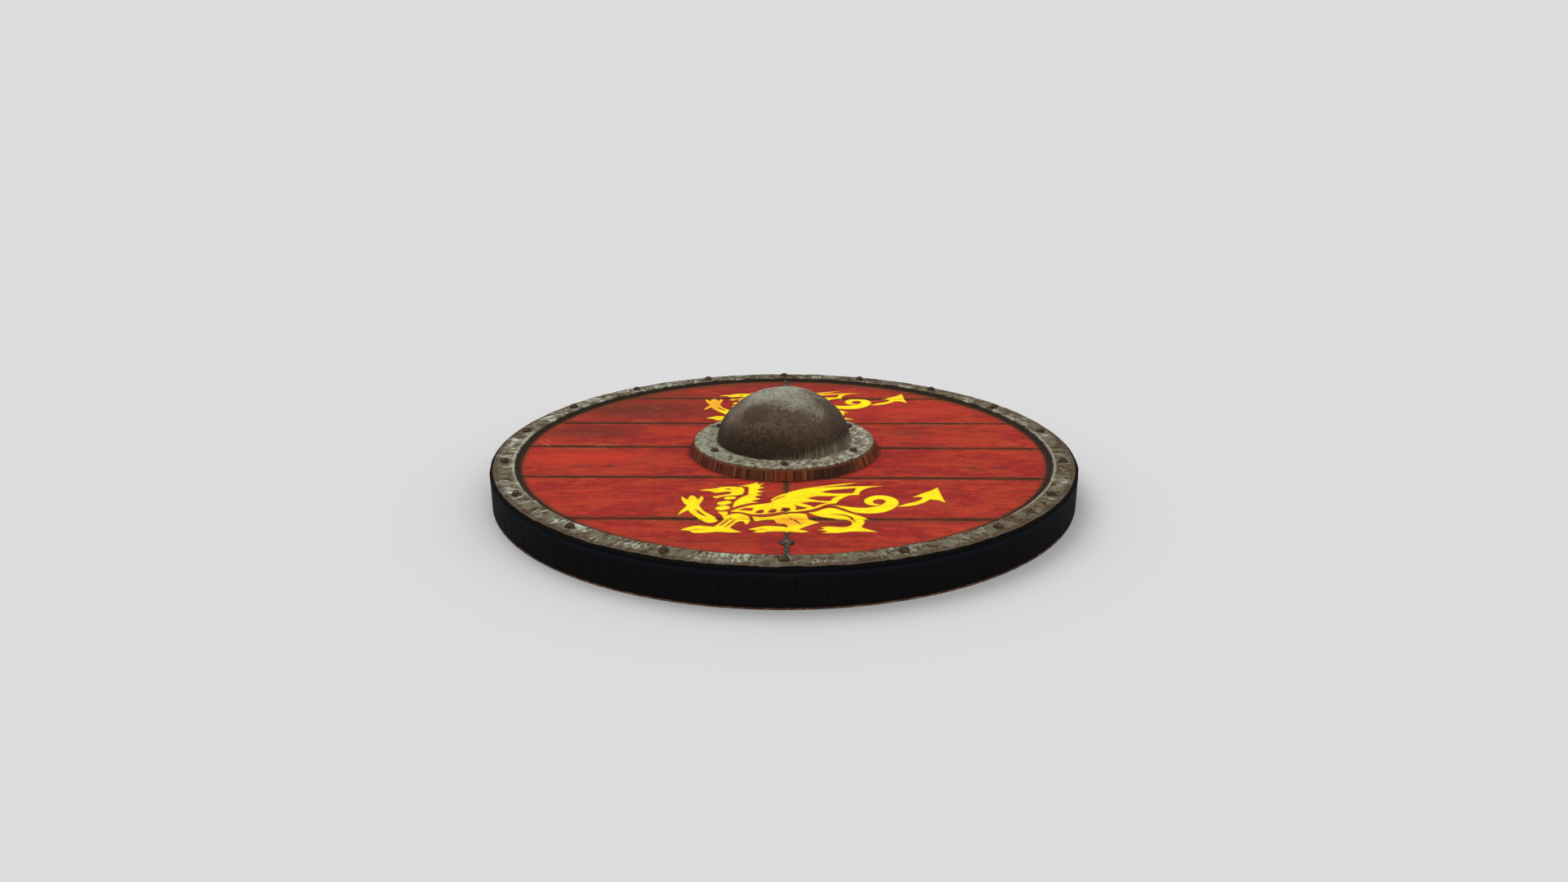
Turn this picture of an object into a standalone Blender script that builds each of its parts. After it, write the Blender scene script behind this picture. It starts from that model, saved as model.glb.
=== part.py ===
"""Round wooden shield lying face up, for Blender 4.5.

Six boards lie on a wooden ring inside a deep wooden hoop. A dished iron band binds the front
edge, a thin one the back edge, and an iron boss stands on a wooden seat over the hand hole.
Lengths are in metres, +Z is up, and the origin is on the ground under the middle.
"""

import math

import bmesh
import bpy
from mathutils import Matrix, Vector

# Fits
GAP = 0.0003  # between two pieces that touch
HOOP_CLEARANCE = 0.0008  # between the boards' ends and the hoop
SEAM_GAP = 0.0006  # between two boards
SHANK_CLEARANCE = 0.0003  # round a shank in its hole

# Boards
SHIELD_RADIUS = 0.400
BOARD_FACE_HEIGHT = 0.0450  # painted face above the ground
BOARD_THICKNESS = 0.0120
BOARD_CHAMFER = 0.0024  # along both sides of each seam
# Each seam's place along Y and its tilt in degrees, from the back of the shield
SEAMS = ((0.254, -0.43), (0.120, -0.36), (0.006, -1.0), (-0.116, -0.78), (-0.256, -0.57))
HAND_HOLE_RADIUS = 0.072
CENTRE_LINE_X = 0.003  # scored line and tongues
SCORE_WIDTH = 0.003
SCORE_DEPTH = 0.0012

# Hoop, and the ring inside it that carries the boards
HOOP_WALL = 0.0100
LEDGE_WIDTH = 0.0240
LEDGE_DEPTH = 0.0140

# Front band, a dished strip
BAND_SHEET = 0.0026
BAND_RISE = 0.0048  # its flat above the painted face
BAND_LIP_WIDTH = 0.0060
BAND_LIP_DROP = 0.0034
BAND_FLAT_WIDTH = 0.0260
BAND_BEVEL_WIDTH = 0.0070

# Back band
BACK_BAND_SHEET = 0.0020
BACK_BAND_WIDTH = 0.0160

# Boss and its seat
SEAT_HEIGHT = 0.0130
SEAT_FLARE = 0.0048  # how much wider the seat is at its foot
SEAT_MARGIN = 0.0017  # seat showing outside the flange
BOSS_SHEET = 0.0022
DOME_RADIUS = 0.0920
DOME_HEIGHT = 0.0713  # above the flange
DOME_WALL = 0.0030  # upright stretch at the dome's foot
DOME_TAPER = 1.13  # 1 is a quarter ellipse, more draws the dome in
DOME_FILLET = 0.0020
FLANGE_WIDTH = 0.0325

# Rivets
RIM_RIVETS = 18
RIM_RIVET_HEAD_RADIUS = 0.0062
RIM_RIVET_HEAD_HEIGHT = 0.0048
BOSS_RIVETS = 6
BOSS_RIVET_HEAD_RADIUS = 0.0054
BOSS_RIVET_HEAD_HEIGHT = 0.0040
SHANK_HALF_WIDTH = 0.0021
TAIL_HALF_WIDTH = 0.0040
TAIL_HEIGHT = 0.0014
TAIL_TAPER = 0.85
TONGUE_RIVET_HEAD_RADIUS = 0.0024
TONGUE_RIVET_HEAD_HEIGHT = 0.0012
TONGUE_SHANK_HALF_WIDTH = 0.0011
TONGUE_TAIL_HALF_WIDTH = 0.0024

# Tongues, flat iron with a pointed finial
TONGUE_SHEET = 0.0020
TONGUE_HALF_WIDTH = 0.0028
FINIAL_CENTRE = 0.0340  # from the band's toe
FINIAL_HALF_WIDTH = 0.0082
FINIAL_HALF_LENGTH = 0.0062
FINIAL_POINT = 0.0250  # from the finial's middle to its tip

# Grip bar
GRIP_DEPTH = 0.0180
GRIP_END_HALF_WIDTH = 0.0130
GRIP_SHOULDER_HALF_WIDTH = 0.0180
GRIP_WAIST_HALF_WIDTH = 0.0140
GRIP_WAIST_LENGTH = 0.0900
GRIP_END_CLEARANCE = 0.0020
GRIP_ROUNDING = 0.0050

# Facets round each ring
RIM_SEGMENTS = 72
BOSS_SEGMENTS = 48
RIVET_SEGMENTS = 8
DOME_STEPS_OUTSIDE = 8
DOME_STEPS_INSIDE = 6
SMOOTH_ANGLE = math.radians(40)

# Places that follow from the sizes above
BOARD_BACK_HEIGHT = BOARD_FACE_HEIGHT - BOARD_THICKNESS
LEDGE_TOP = BOARD_BACK_HEIGHT - GAP
LEDGE_BOTTOM = LEDGE_TOP - LEDGE_DEPTH
HOOP_INNER_RADIUS = SHIELD_RADIUS - HOOP_WALL
LEDGE_OUTER_RADIUS = HOOP_INNER_RADIUS - GAP
LEDGE_INNER_RADIUS = LEDGE_OUTER_RADIUS - LEDGE_WIDTH
BOARD_END_RADIUS = HOOP_INNER_RADIUS - HOOP_CLEARANCE
BAND_TOP = BOARD_FACE_HEIGHT + BAND_RISE
BAND_FLAT_OUTER_RADIUS = SHIELD_RADIUS - BAND_LIP_WIDTH
BAND_FLAT_INNER_RADIUS = BAND_FLAT_OUTER_RADIUS - BAND_FLAT_WIDTH
BAND_TOE_RADIUS = BAND_FLAT_INNER_RADIUS - BAND_BEVEL_WIDTH
BAND_LIP_ANGLE = math.atan2(BAND_LIP_DROP, BAND_LIP_WIDTH)
RIM_RIVET_RING = BAND_FLAT_OUTER_RADIUS - BAND_FLAT_WIDTH / 2
FLANGE_RADIUS = DOME_RADIUS + FLANGE_WIDTH
BOSS_RIVET_RING = DOME_RADIUS + FLANGE_WIDTH / 2
SEAT_FOOT = BOARD_FACE_HEIGHT + GAP
SEAT_TOP = SEAT_FOOT + SEAT_HEIGHT
SEAT_TOP_RADIUS = FLANGE_RADIUS + SEAT_MARGIN
SEAT_FOOT_RADIUS = SEAT_TOP_RADIUS + SEAT_FLARE
FLANGE_UNDERSIDE = SEAT_TOP + GAP
FLANGE_TOP = FLANGE_UNDERSIDE + BOSS_SHEET
GRIP_TOP = BOARD_BACK_HEIGHT - GAP
GRIP_BOTTOM = GRIP_TOP - GRIP_DEPTH
FINIAL_RADIUS = BAND_TOE_RADIUS - FINIAL_CENTRE
TONGUE_TOP = BOARD_FACE_HEIGHT + GAP + TONGUE_SHEET
FRONT = -math.pi / 2
BACK = math.pi / 2


def clear_scene():
    """Removes every object of the open scene."""
    for old in list(bpy.data.objects):
        bpy.data.objects.remove(old)


def finish(name, colour, roughness, metallic=0.0):
    """A Principled material."""
    material = bpy.data.materials.new(name)
    material.use_nodes = True
    shader = material.node_tree.nodes["Principled BSDF"]
    shader.inputs["Base Color"].default_value = (*colour, 1.0)
    shader.inputs["Roughness"].default_value = roughness
    shader.inputs["Metallic"].default_value = metallic
    return material


def mesh_from(bm, name, material):
    """The bmesh as a mesh with outward faces, smooth where its faces meet gently."""
    bmesh.ops.recalc_face_normals(bm, faces=bm.faces)
    if bm.calc_volume(signed=True) < 0:
        bmesh.ops.reverse_faces(bm, faces=bm.faces)
    mesh = bpy.data.meshes.new(name)
    bm.to_mesh(mesh)
    bm.free()
    mesh.materials.append(material)
    mesh.shade_smooth()
    mesh.set_sharp_from_angle(angle=SMOOTH_ANGLE)
    return mesh


def placed(name, mesh, angle=0.0, location=(0.0, 0.0, 0.0)):
    """A new object of the scene, turned about Z by the angle."""
    made = bpy.data.objects.new(name, mesh)
    made.location = location
    made.rotation_euler = (0.0, 0.0, angle)
    bpy.context.scene.collection.objects.link(made)
    return made


def as_cutter(made):
    """Leaves the object out of renders and draws it as wire."""
    made.hide_render = True
    made.display_type = "WIRE"
    return made


def cut(made, *cutters):
    """Subtracts each cutter from the object."""
    for cutter in cutters:
        boolean = made.modifiers.new(cutter.name, "BOOLEAN")
        boolean.operation = "DIFFERENCE"
        boolean.solver = "EXACT"
        boolean.object = cutter


def on_circle(radius, angle, height=0.0):
    """The point at this radius, angle and height about the Z axis."""
    return Vector((radius * math.cos(angle), radius * math.sin(angle), height))


def verts_of(result):
    """The vertices in an operator's result."""
    return [item for item in result["geom"] if isinstance(item, bmesh.types.BMVert)]


def turned(name, section, segments, material, closed=True):
    """A mesh turned about Z from (radius, height) points. An open section ends on the axis."""
    bm = bmesh.new()
    points = [bm.verts.new((radius, 0.0, height)) for radius, height in section]
    following = points[1:] + (points[:1] if closed else [])
    edges = [bm.edges.new(pair) for pair in zip(points, following)]
    bmesh.ops.spin(
        bm,
        geom=points + edges,
        axis=(0, 0, 1),
        cent=(0, 0, 0),
        angle=2 * math.pi,
        steps=segments,
        use_merge=True,
    )
    bmesh.ops.remove_doubles(bm, verts=bm.verts, dist=1e-7)
    return mesh_from(bm, name, material)


def plate(outline, low, high):
    """A bmesh of the flat outline, standing from one height to the other."""
    bm = bmesh.new()
    face = bm.faces.new([bm.verts.new((x, y, high)) for x, y in outline])
    sunk = bmesh.ops.extrude_face_region(bm, geom=[face])
    bmesh.ops.translate(bm, verts=verts_of(sunk), vec=(0, 0, low - high))
    return bm


def chamfer(bm, edges, width, steps=1):
    """Bevels the edges."""
    bmesh.ops.bevel(
        bm, geom=edges, offset=width, segments=steps, profile=0.5, affect="EDGES", material=-1
    )


def seam_side(seam, side):
    """A board's straight side on this seam: a point and the direction away from the board.

    The side is +1 where the seam bounds the board at its back, and -1 at its front.
    """
    place, tilt = seam
    away = side * Vector((-math.sin(math.radians(tilt)), math.cos(math.radians(tilt)), 0.0))
    return Vector((0.0, place, BOARD_FACE_HEIGHT)) - away * SEAM_GAP / 2, away


def board_mesh(name, sides, material):
    """One board: a slice of the disc, chamfered along the seams on its painted face."""
    bm = bmesh.new()
    bmesh.ops.create_circle(bm, cap_ends=True, radius=BOARD_END_RADIUS, segments=RIM_SEGMENTS)
    bmesh.ops.translate(bm, verts=bm.verts, vec=(0, 0, BOARD_FACE_HEIGHT))
    for point, away in sides:
        whole = bm.verts[:] + bm.edges[:] + bm.faces[:]
        bmesh.ops.bisect_plane(
            bm, geom=whole, dist=1e-7, plane_co=point, plane_no=away, clear_outer=True
        )
    sunk = bmesh.ops.extrude_face_region(bm, geom=bm.faces[:])
    bmesh.ops.translate(bm, verts=verts_of(sunk), vec=(0, 0, -BOARD_THICKNESS))
    for point, away in sides:
        on_seam = [
            edge
            for edge in bm.edges
            if all(
                abs((vert.co - point).dot(away)) < 1e-6
                and abs(vert.co.z - BOARD_FACE_HEIGHT) < 1e-6
                for vert in edge.verts
            )
        ]
        chamfer(bm, on_seam, BOARD_CHAMFER)
    return mesh_from(bm, name, material)


def make_boards(material, cutters):
    """The boards, numbered from the back of the shield to its front."""
    back_sides = [None] + [seam_side(seam, 1) for seam in SEAMS]
    front_sides = [seam_side(seam, -1) for seam in SEAMS] + [None]
    back_to_front = zip(front_sides, back_sides)
    for number, sides in enumerate(back_to_front, start=1):
        name = f"board_{number}"
        kept = [side for side in sides if side]
        cut(placed(name, board_mesh(name, kept, material)), *cutters)


def band_section():
    """Section of the front band: lip, flat and inner bevel, all of one sheet thickness."""
    toe = BOARD_FACE_HEIGHT + GAP
    bevel_angle = math.atan2(BAND_TOP - toe, BAND_BEVEL_WIDTH)
    under = BAND_TOP - BAND_SHEET
    return [
        (SHIELD_RADIUS, BAND_TOP - BAND_LIP_DROP),
        (BAND_FLAT_OUTER_RADIUS, BAND_TOP),
        (BAND_FLAT_INNER_RADIUS, BAND_TOP),
        (BAND_TOE_RADIUS, toe),
        (BAND_TOE_RADIUS + BAND_SHEET / math.sin(bevel_angle), toe),
        (BAND_FLAT_INNER_RADIUS + BAND_SHEET * math.tan(bevel_angle / 2), under),
        *lip_underside(0.0),
    ]


def lip_underside(below):
    """The underside of the band's lip, or the line that lies this far below it."""
    bend = BAND_FLAT_OUTER_RADIUS - BAND_SHEET * math.tan(BAND_LIP_ANGLE / 2)
    edge = BAND_TOP - BAND_LIP_DROP - BAND_SHEET / math.cos(BAND_LIP_ANGLE)
    return [(bend, BAND_TOP - BAND_SHEET - below), (SHIELD_RADIUS, edge - below)]


def hoop_section():
    """Section of the hoop, a deep wall that fills the band's lip."""
    foot = BACK_BAND_SHEET + GAP
    return [
        (HOOP_INNER_RADIUS, BAND_TOP - BAND_SHEET - GAP),
        *lip_underside(GAP),
        (SHIELD_RADIUS, foot),
        (HOOP_INNER_RADIUS, foot),
    ]


def ledge_section():
    """Section of the ring that the boards lie on."""
    return [
        (LEDGE_INNER_RADIUS, LEDGE_BOTTOM),
        (LEDGE_OUTER_RADIUS, LEDGE_BOTTOM),
        (LEDGE_OUTER_RADIUS, LEDGE_TOP),
        (LEDGE_INNER_RADIUS, LEDGE_TOP),
    ]


def back_band_section():
    """Section of the flat band that the shield rests on."""
    inner = SHIELD_RADIUS - BACK_BAND_WIDTH
    return [
        (SHIELD_RADIUS, 0.0),
        (SHIELD_RADIUS, BACK_BAND_SHEET),
        (inner, BACK_BAND_SHEET),
        (inner, 0.0),
    ]


def seat_section():
    """Section of the wooden ring under the boss, wider at its foot."""
    return [
        (HAND_HOLE_RADIUS, SEAT_FOOT),
        (SEAT_FOOT_RADIUS, SEAT_FOOT),
        (SEAT_TOP_RADIUS, SEAT_TOP),
        (HAND_HOLE_RADIUS, SEAT_TOP),
    ]


def dome_arc(radius, spring, crown, steps):
    """Drawn-in quarter ellipse from the crown on the axis down to the spring line."""
    angles = [math.pi / 2 * (1 - step / steps) for step in range(steps + 1)]
    arc = [
        (radius * math.cos(angle), spring + (crown - spring) * math.sin(angle) ** DOME_TAPER)
        for angle in angles
    ]
    arc[0] = (0.0, crown)
    return arc


def boss_section():
    """Open section of the raised sheet, from the crown over the flange and back inside."""
    spring = FLANGE_TOP + DOME_WALL
    crown = FLANGE_TOP + DOME_HEIGHT
    inner_radius = DOME_RADIUS - BOSS_SHEET
    outside = dome_arc(DOME_RADIUS, spring, crown, DOME_STEPS_OUTSIDE)
    inside = dome_arc(inner_radius, spring, crown - BOSS_SHEET, DOME_STEPS_INSIDE)
    flange = [
        (DOME_RADIUS, FLANGE_TOP + DOME_FILLET),
        (DOME_RADIUS + DOME_FILLET, FLANGE_TOP),
        (FLANGE_RADIUS, FLANGE_TOP),
        (FLANGE_RADIUS, FLANGE_UNDERSIDE),
        (inner_radius, FLANGE_UNDERSIDE),
    ]
    return outside + flange + inside[::-1]


def rivet_mesh(name, head_radius, head_height, shank_half_width, tail_half_width, length, material):
    """A domed head over Z = 0, a square shank below it and a square peened tail at its end."""
    crown_angle = math.radians(42)
    diagonal = math.sqrt(2)
    square = Matrix.Rotation(math.pi / 4, 4, "Z")
    bm = bmesh.new()
    brim = bmesh.ops.create_circle(bm, segments=RIVET_SEGMENTS, radius=head_radius)["verts"]
    brim_edges = {edge for vert in brim for edge in vert.link_edges}
    neck = bmesh.ops.create_circle(
        bm, segments=4, radius=shank_half_width * diagonal, matrix=square
    )["verts"]
    neck_edges = {edge for vert in neck for edge in vert.link_edges}
    bmesh.ops.bridge_loops(bm, edges=list(brim_edges | neck_edges))
    crown = bmesh.ops.extrude_edge_only(bm, edges=list(brim_edges))
    crown_verts = verts_of(crown)
    width = math.cos(crown_angle)
    bmesh.ops.scale(bm, verts=crown_verts, vec=(width, width, 1.0))
    bmesh.ops.translate(bm, verts=crown_verts, vec=(0, 0, head_height * math.sin(crown_angle)))
    crown_edges = [item for item in crown["geom"] if isinstance(item, bmesh.types.BMEdge)]
    cap = bmesh.ops.contextual_create(bm, geom=crown_edges)["faces"]
    bmesh.ops.poke(bm, faces=cap)["verts"][0].co.z = head_height
    end = bmesh.ops.contextual_create(bm, geom=list(neck_edges))["faces"]
    peening = tail_half_width / shank_half_width
    for widening, drop in ((1.0, length), (peening, 0.0), (TAIL_TAPER, TAIL_HEIGHT)):
        drawn = bmesh.ops.extrude_face_region(bm, geom=end)
        bmesh.ops.delete(bm, geom=end, context="FACES_ONLY")
        bmesh.ops.scale(bm, verts=verts_of(drawn), vec=(widening, widening, 1.0))
        bmesh.ops.translate(bm, verts=verts_of(drawn), vec=(0, 0, -drop))
        end = [item for item in drawn["geom"] if isinstance(item, bmesh.types.BMFace)]
    return mesh_from(bm, name, material)


def ring_angles(count):
    """Equal steps round the shield, the first of them at its back."""
    return [BACK + 2 * math.pi * i / count for i in range(count)]


def hole_cutter():
    """Square holes for every shank: rim, boss and tongues."""
    bm = bmesh.new()
    half_widths = {
        SHANK_HALF_WIDTH: [(on_circle(RIM_RIVET_RING, a), a) for a in ring_angles(RIM_RIVETS)]
        + [(on_circle(BOSS_RIVET_RING, a), a) for a in ring_angles(BOSS_RIVETS)],
        TONGUE_SHANK_HALF_WIDTH: [(tongue_rivet_place(a), a) for a in (FRONT, BACK)],
    }
    low = GRIP_BOTTOM - GAP
    high = max(BAND_TOP, FLANGE_TOP) + GAP
    for half_width, places in half_widths.items():
        across = 2 * (half_width + SHANK_CLEARANCE)
        size = Matrix.Diagonal((across, across, high - low, 1.0))
        for place, angle in places:
            middle = Matrix.Translation(place + Vector((0, 0, (low + high) / 2)))
            turn = Matrix.Rotation(angle, 4, "Z")
            bmesh.ops.create_cube(bm, size=1.0, matrix=middle @ turn @ size)
    return bm


def score_cutter():
    """Slots for the scored line, from the boss's seat to each finial's tip."""
    bm = bmesh.new()
    inner = SEAT_FOOT_RADIUS
    outer = FINIAL_RADIUS - FINIAL_POINT
    for side in (-1, 1):
        middle = Vector((CENTRE_LINE_X, side * (inner + outer) / 2, BOARD_FACE_HEIGHT))
        size = Matrix.Diagonal((SCORE_WIDTH, outer - inner, 2 * SCORE_DEPTH, 1.0))
        bmesh.ops.create_cube(bm, size=1.0, matrix=Matrix.Translation(middle) @ size)
    return bm


def hand_hole_cutter():
    """A drum the size of the hand hole."""
    bm = bmesh.new()
    bmesh.ops.create_cone(
        bm,
        cap_ends=True,
        segments=BOSS_SEGMENTS,
        radius1=HAND_HOLE_RADIUS,
        radius2=HAND_HOLE_RADIUS,
        depth=3 * BOARD_THICKNESS,
    )
    middle = BOARD_FACE_HEIGHT - BOARD_THICKNESS / 2
    bmesh.ops.translate(bm, verts=bm.verts, vec=(0, 0, middle))
    return bm


def tongue_rivet_place(angle):
    """Where a finial's rivet stands."""
    return on_circle(FINIAL_RADIUS, angle) + Vector((CENTRE_LINE_X, 0.0, 0.0))


def tongue_outline(side):
    """Outline of a tongue from the band's toe to its tip, at the shield's front or back."""
    half = [
        (TONGUE_HALF_WIDTH, BAND_TOE_RADIUS - GAP),
        (TONGUE_HALF_WIDTH, FINIAL_RADIUS + FINIAL_HALF_LENGTH),
        (FINIAL_HALF_WIDTH, FINIAL_RADIUS + FINIAL_HALF_LENGTH / 2),
        (FINIAL_HALF_WIDTH, FINIAL_RADIUS - FINIAL_HALF_LENGTH / 2),
        (TONGUE_HALF_WIDTH, FINIAL_RADIUS - FINIAL_HALF_LENGTH),
        (TONGUE_HALF_WIDTH, FINIAL_RADIUS - (FINIAL_HALF_LENGTH + FINIAL_POINT) / 2),
    ]
    tip = [(0.0, FINIAL_RADIUS - FINIAL_POINT)]
    mirrored = [(-across, along) for across, along in reversed(half)]
    return [(CENTRE_LINE_X + across, side * along) for across, along in half + tip + mirrored]


def make_tongues(iron, nail_iron, holes):
    """The two tongues and the rivet through each finial."""
    length = TONGUE_TOP + GAP - (GRIP_BOTTOM - GAP)
    rivet = rivet_mesh(
        "tongue_rivet",
        TONGUE_RIVET_HEAD_RADIUS,
        TONGUE_RIVET_HEAD_HEIGHT,
        TONGUE_SHANK_HALF_WIDTH,
        TONGUE_TAIL_HALF_WIDTH,
        length,
        nail_iron,
    )
    for label, side, angle in (("front", -1, FRONT), ("back", 1, BACK)):
        name = f"tongue_{label}"
        bm = plate(tongue_outline(side), BOARD_FACE_HEIGHT + GAP, TONGUE_TOP)
        cut(placed(name, mesh_from(bm, name, iron)), holes)
        place = tongue_rivet_place(angle) + Vector((0, 0, TONGUE_TOP + GAP))
        placed(f"tongue_rivet_{label}", rivet, angle, place)


def make_rim_rivets(iron):
    """The rivets through the band, the boards and the ledge ring."""
    length = BAND_TOP + GAP - (LEDGE_BOTTOM - GAP)
    rivet = rivet_mesh(
        "rim_rivet",
        RIM_RIVET_HEAD_RADIUS,
        RIM_RIVET_HEAD_HEIGHT,
        SHANK_HALF_WIDTH,
        TAIL_HALF_WIDTH,
        length,
        iron,
    )
    for number, angle in enumerate(ring_angles(RIM_RIVETS), start=1):
        place = on_circle(RIM_RIVET_RING, angle, BAND_TOP + GAP)
        placed(f"rim_rivet_{number:02d}", rivet, angle, place)


def make_boss_rivets(iron):
    """The rivets through the flange. Those over the grip bar are peened on its back."""
    ends = {"short": BOARD_BACK_HEIGHT, "long": GRIP_BOTTOM}
    rivets = {
        label: rivet_mesh(
            f"boss_rivet_{label}",
            BOSS_RIVET_HEAD_RADIUS,
            BOSS_RIVET_HEAD_HEIGHT,
            SHANK_HALF_WIDTH,
            TAIL_HALF_WIDTH,
            FLANGE_TOP + GAP - (end - GAP),
            iron,
        )
        for label, end in ends.items()
    }
    for number, angle in enumerate(ring_angles(BOSS_RIVETS), start=1):
        place = on_circle(BOSS_RIVET_RING, angle, FLANGE_TOP + GAP)
        over_grip = abs(place.x) < GRIP_END_HALF_WIDTH
        placed(f"boss_rivet_{number}", rivets["long" if over_grip else "short"], angle, place)


def grip_outline():
    """Outline of the grip bar: square ends, shoulders at the hand hole and a waist."""
    end = math.sqrt(LEDGE_INNER_RADIUS**2 - GRIP_END_HALF_WIDTH**2) - GRIP_END_CLEARANCE
    quarter = [
        (GRIP_END_HALF_WIDTH, end),
        (GRIP_END_HALF_WIDTH, HAND_HOLE_RADIUS + FLANGE_WIDTH),
        (GRIP_SHOULDER_HALF_WIDTH, HAND_HOLE_RADIUS),
        (GRIP_WAIST_HALF_WIDTH, GRIP_WAIST_LENGTH / 2),
    ]
    right = quarter + [(across, -along) for across, along in reversed(quarter)]
    return right + [(-across, along) for across, along in reversed(right)]


def make_grip(wood, holes):
    """The bar across the back, its long edges rounded on the side away from the boards."""
    bm = plate(grip_outline(), GRIP_BOTTOM, GRIP_TOP)
    long_edges = [
        edge
        for edge in bm.edges
        if all(abs(vert.co.z - GRIP_BOTTOM) < 1e-6 for vert in edge.verts)
        and abs(edge.verts[0].co.y - edge.verts[1].co.y) > GRIP_ROUNDING
    ]
    chamfer(bm, long_edges, GRIP_ROUNDING, steps=2)
    cut(placed("grip_bar", mesh_from(bm, "grip_bar", wood)), holes)


def main():
    """Makes every piece of the shield."""
    clear_scene()
    red_paint = finish("red_paint", (0.50, 0.05, 0.035), 0.72)
    black_wood = finish("black_wood", (0.012, 0.012, 0.013), 0.65)
    seat_wood = finish("seat_wood", (0.16, 0.045, 0.025), 0.75)
    grip_wood = finish("grip_wood", (0.20, 0.12, 0.07), 0.70)
    band_iron = finish("band_iron", (0.23, 0.22, 0.19), 0.58, 0.75)
    edge_iron = finish("edge_iron", (0.14, 0.10, 0.08), 0.62, 0.70)
    boss_iron = finish("boss_iron", (0.15, 0.13, 0.11), 0.55, 0.80)
    rivet_iron = finish("rivet_iron", (0.09, 0.055, 0.045), 0.60, 0.70)
    tongue_iron = finish("tongue_iron", (0.06, 0.06, 0.05), 0.60, 0.75)

    holes = as_cutter(placed("holes", mesh_from(hole_cutter(), "holes", band_iron)))
    score = as_cutter(placed("score", mesh_from(score_cutter(), "score", red_paint)))
    drum = as_cutter(placed("hand_hole", mesh_from(hand_hole_cutter(), "hand_hole", red_paint)))

    make_boards(red_paint, (drum, holes, score))
    placed("hoop", turned("hoop", hoop_section(), RIM_SEGMENTS, black_wood))
    ledge = turned("ledge_ring", ledge_section(), RIM_SEGMENTS, grip_wood)
    cut(placed("ledge_ring", ledge), holes)
    band = turned("front_band", band_section(), RIM_SEGMENTS, band_iron)
    cut(placed("front_band", band), holes)
    placed("back_band", turned("back_band", back_band_section(), RIM_SEGMENTS, edge_iron))
    seat = turned("boss_seat", seat_section(), BOSS_SEGMENTS, seat_wood)
    cut(placed("boss_seat", seat), holes)
    boss = turned("boss", boss_section(), BOSS_SEGMENTS, boss_iron, closed=False)
    cut(placed("boss", boss), holes)
    make_rim_rivets(rivet_iron)
    make_boss_rivets(rivet_iron)
    make_tongues(tongue_iron, rivet_iron, holes)
    make_grip(grip_wood, holes)


main()
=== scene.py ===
"""Looks of a round shield lying face up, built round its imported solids.

Red boards carry a painted dragon before and behind an iron boss. A dished iron band binds a
deep black hoop. Lengths are in metres, +Z is up, and the shield's front edge faces -Y.
"""

from __future__ import annotations

import logging
import math
from collections import defaultdict
from collections.abc import Callable, Iterable
from dataclasses import dataclass, field
from enum import Enum
from functools import cached_property, partial, reduce
from typing import ClassVar, NamedTuple

import bmesh
import bpy
import numpy as np
from mathutils import Matrix, Vector, noise


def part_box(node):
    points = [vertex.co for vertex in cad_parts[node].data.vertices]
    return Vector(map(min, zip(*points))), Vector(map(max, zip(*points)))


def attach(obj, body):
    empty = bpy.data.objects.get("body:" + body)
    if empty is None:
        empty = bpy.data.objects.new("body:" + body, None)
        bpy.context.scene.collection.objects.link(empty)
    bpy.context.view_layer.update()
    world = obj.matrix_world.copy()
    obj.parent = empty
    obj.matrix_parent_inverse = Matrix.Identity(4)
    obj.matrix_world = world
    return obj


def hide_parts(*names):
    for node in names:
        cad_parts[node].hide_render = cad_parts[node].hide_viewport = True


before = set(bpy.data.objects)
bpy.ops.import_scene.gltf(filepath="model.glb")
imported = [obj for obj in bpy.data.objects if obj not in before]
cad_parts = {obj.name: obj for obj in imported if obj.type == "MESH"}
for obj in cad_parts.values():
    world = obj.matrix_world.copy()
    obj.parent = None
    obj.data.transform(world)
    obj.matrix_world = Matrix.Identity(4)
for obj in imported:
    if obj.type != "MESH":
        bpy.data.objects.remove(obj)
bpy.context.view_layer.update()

LOG = logging.getLogger("shield")
MM = 0.001
FACET_ANGLE = math.radians(50)
TINY = 1e-6
SLACK = 1e-7  # Nearness at which a cut takes up a vertex

Socket = bpy.types.NodeSocket
Value = Socket | float
Colour = tuple[float, float, float, float]
Point = tuple[float, ...]
Paint = Socket | Colour


def tone(red: int, green: int, blue: int) -> Colour:
    """A screen colour as linear light.

    Args:
        red: Red from 0 to 255.
        green: Green from 0 to 255.
        blue: Blue from 0 to 255.

    Returns:
        The colour for a shader's socket.
    """
    shares = [part / 255 for part in (red, green, blue)]
    linear = [s / 12.92 if s <= 0.04045 else ((s + 0.055) / 1.055) ** 2.4 for s in shares]
    return (*linear, 1.0)


class Slot(Enum):
    """The record's material slots."""

    RED_PAINT = "red_paint"
    BLACK_WOOD = "black_wood"
    SEAT_WOOD = "seat_wood"
    GRIP_WOOD = "grip_wood"
    BAND_IRON = "band_iron"
    EDGE_IRON = "edge_iron"
    BOSS_IRON = "boss_iron"
    RIVET_IRON = "rivet_iron"
    TONGUE_IRON = "tongue_iron"


class Extent(NamedTuple):
    """Radii and heights that a node reaches.

    Attributes:
        inner: Its least radius.
        outer: Its greatest radius.
        low: Its least height.
        high: Its greatest height.
    """

    inner: float
    outer: float
    low: float
    high: float


def extent(node: str) -> Extent:
    """Measures a node of the frame about the shield's axis.

    Args:
        node: The node's name.

    Returns:
        Its least and greatest radius and height.
    """
    points = [vert.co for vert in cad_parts[node].data.vertices]
    radii = [point.xy.length for point in points]
    heights = [point.z for point in points]
    return Extent(min(radii), max(radii), min(heights), max(heights))


# The painted dragon


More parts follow.
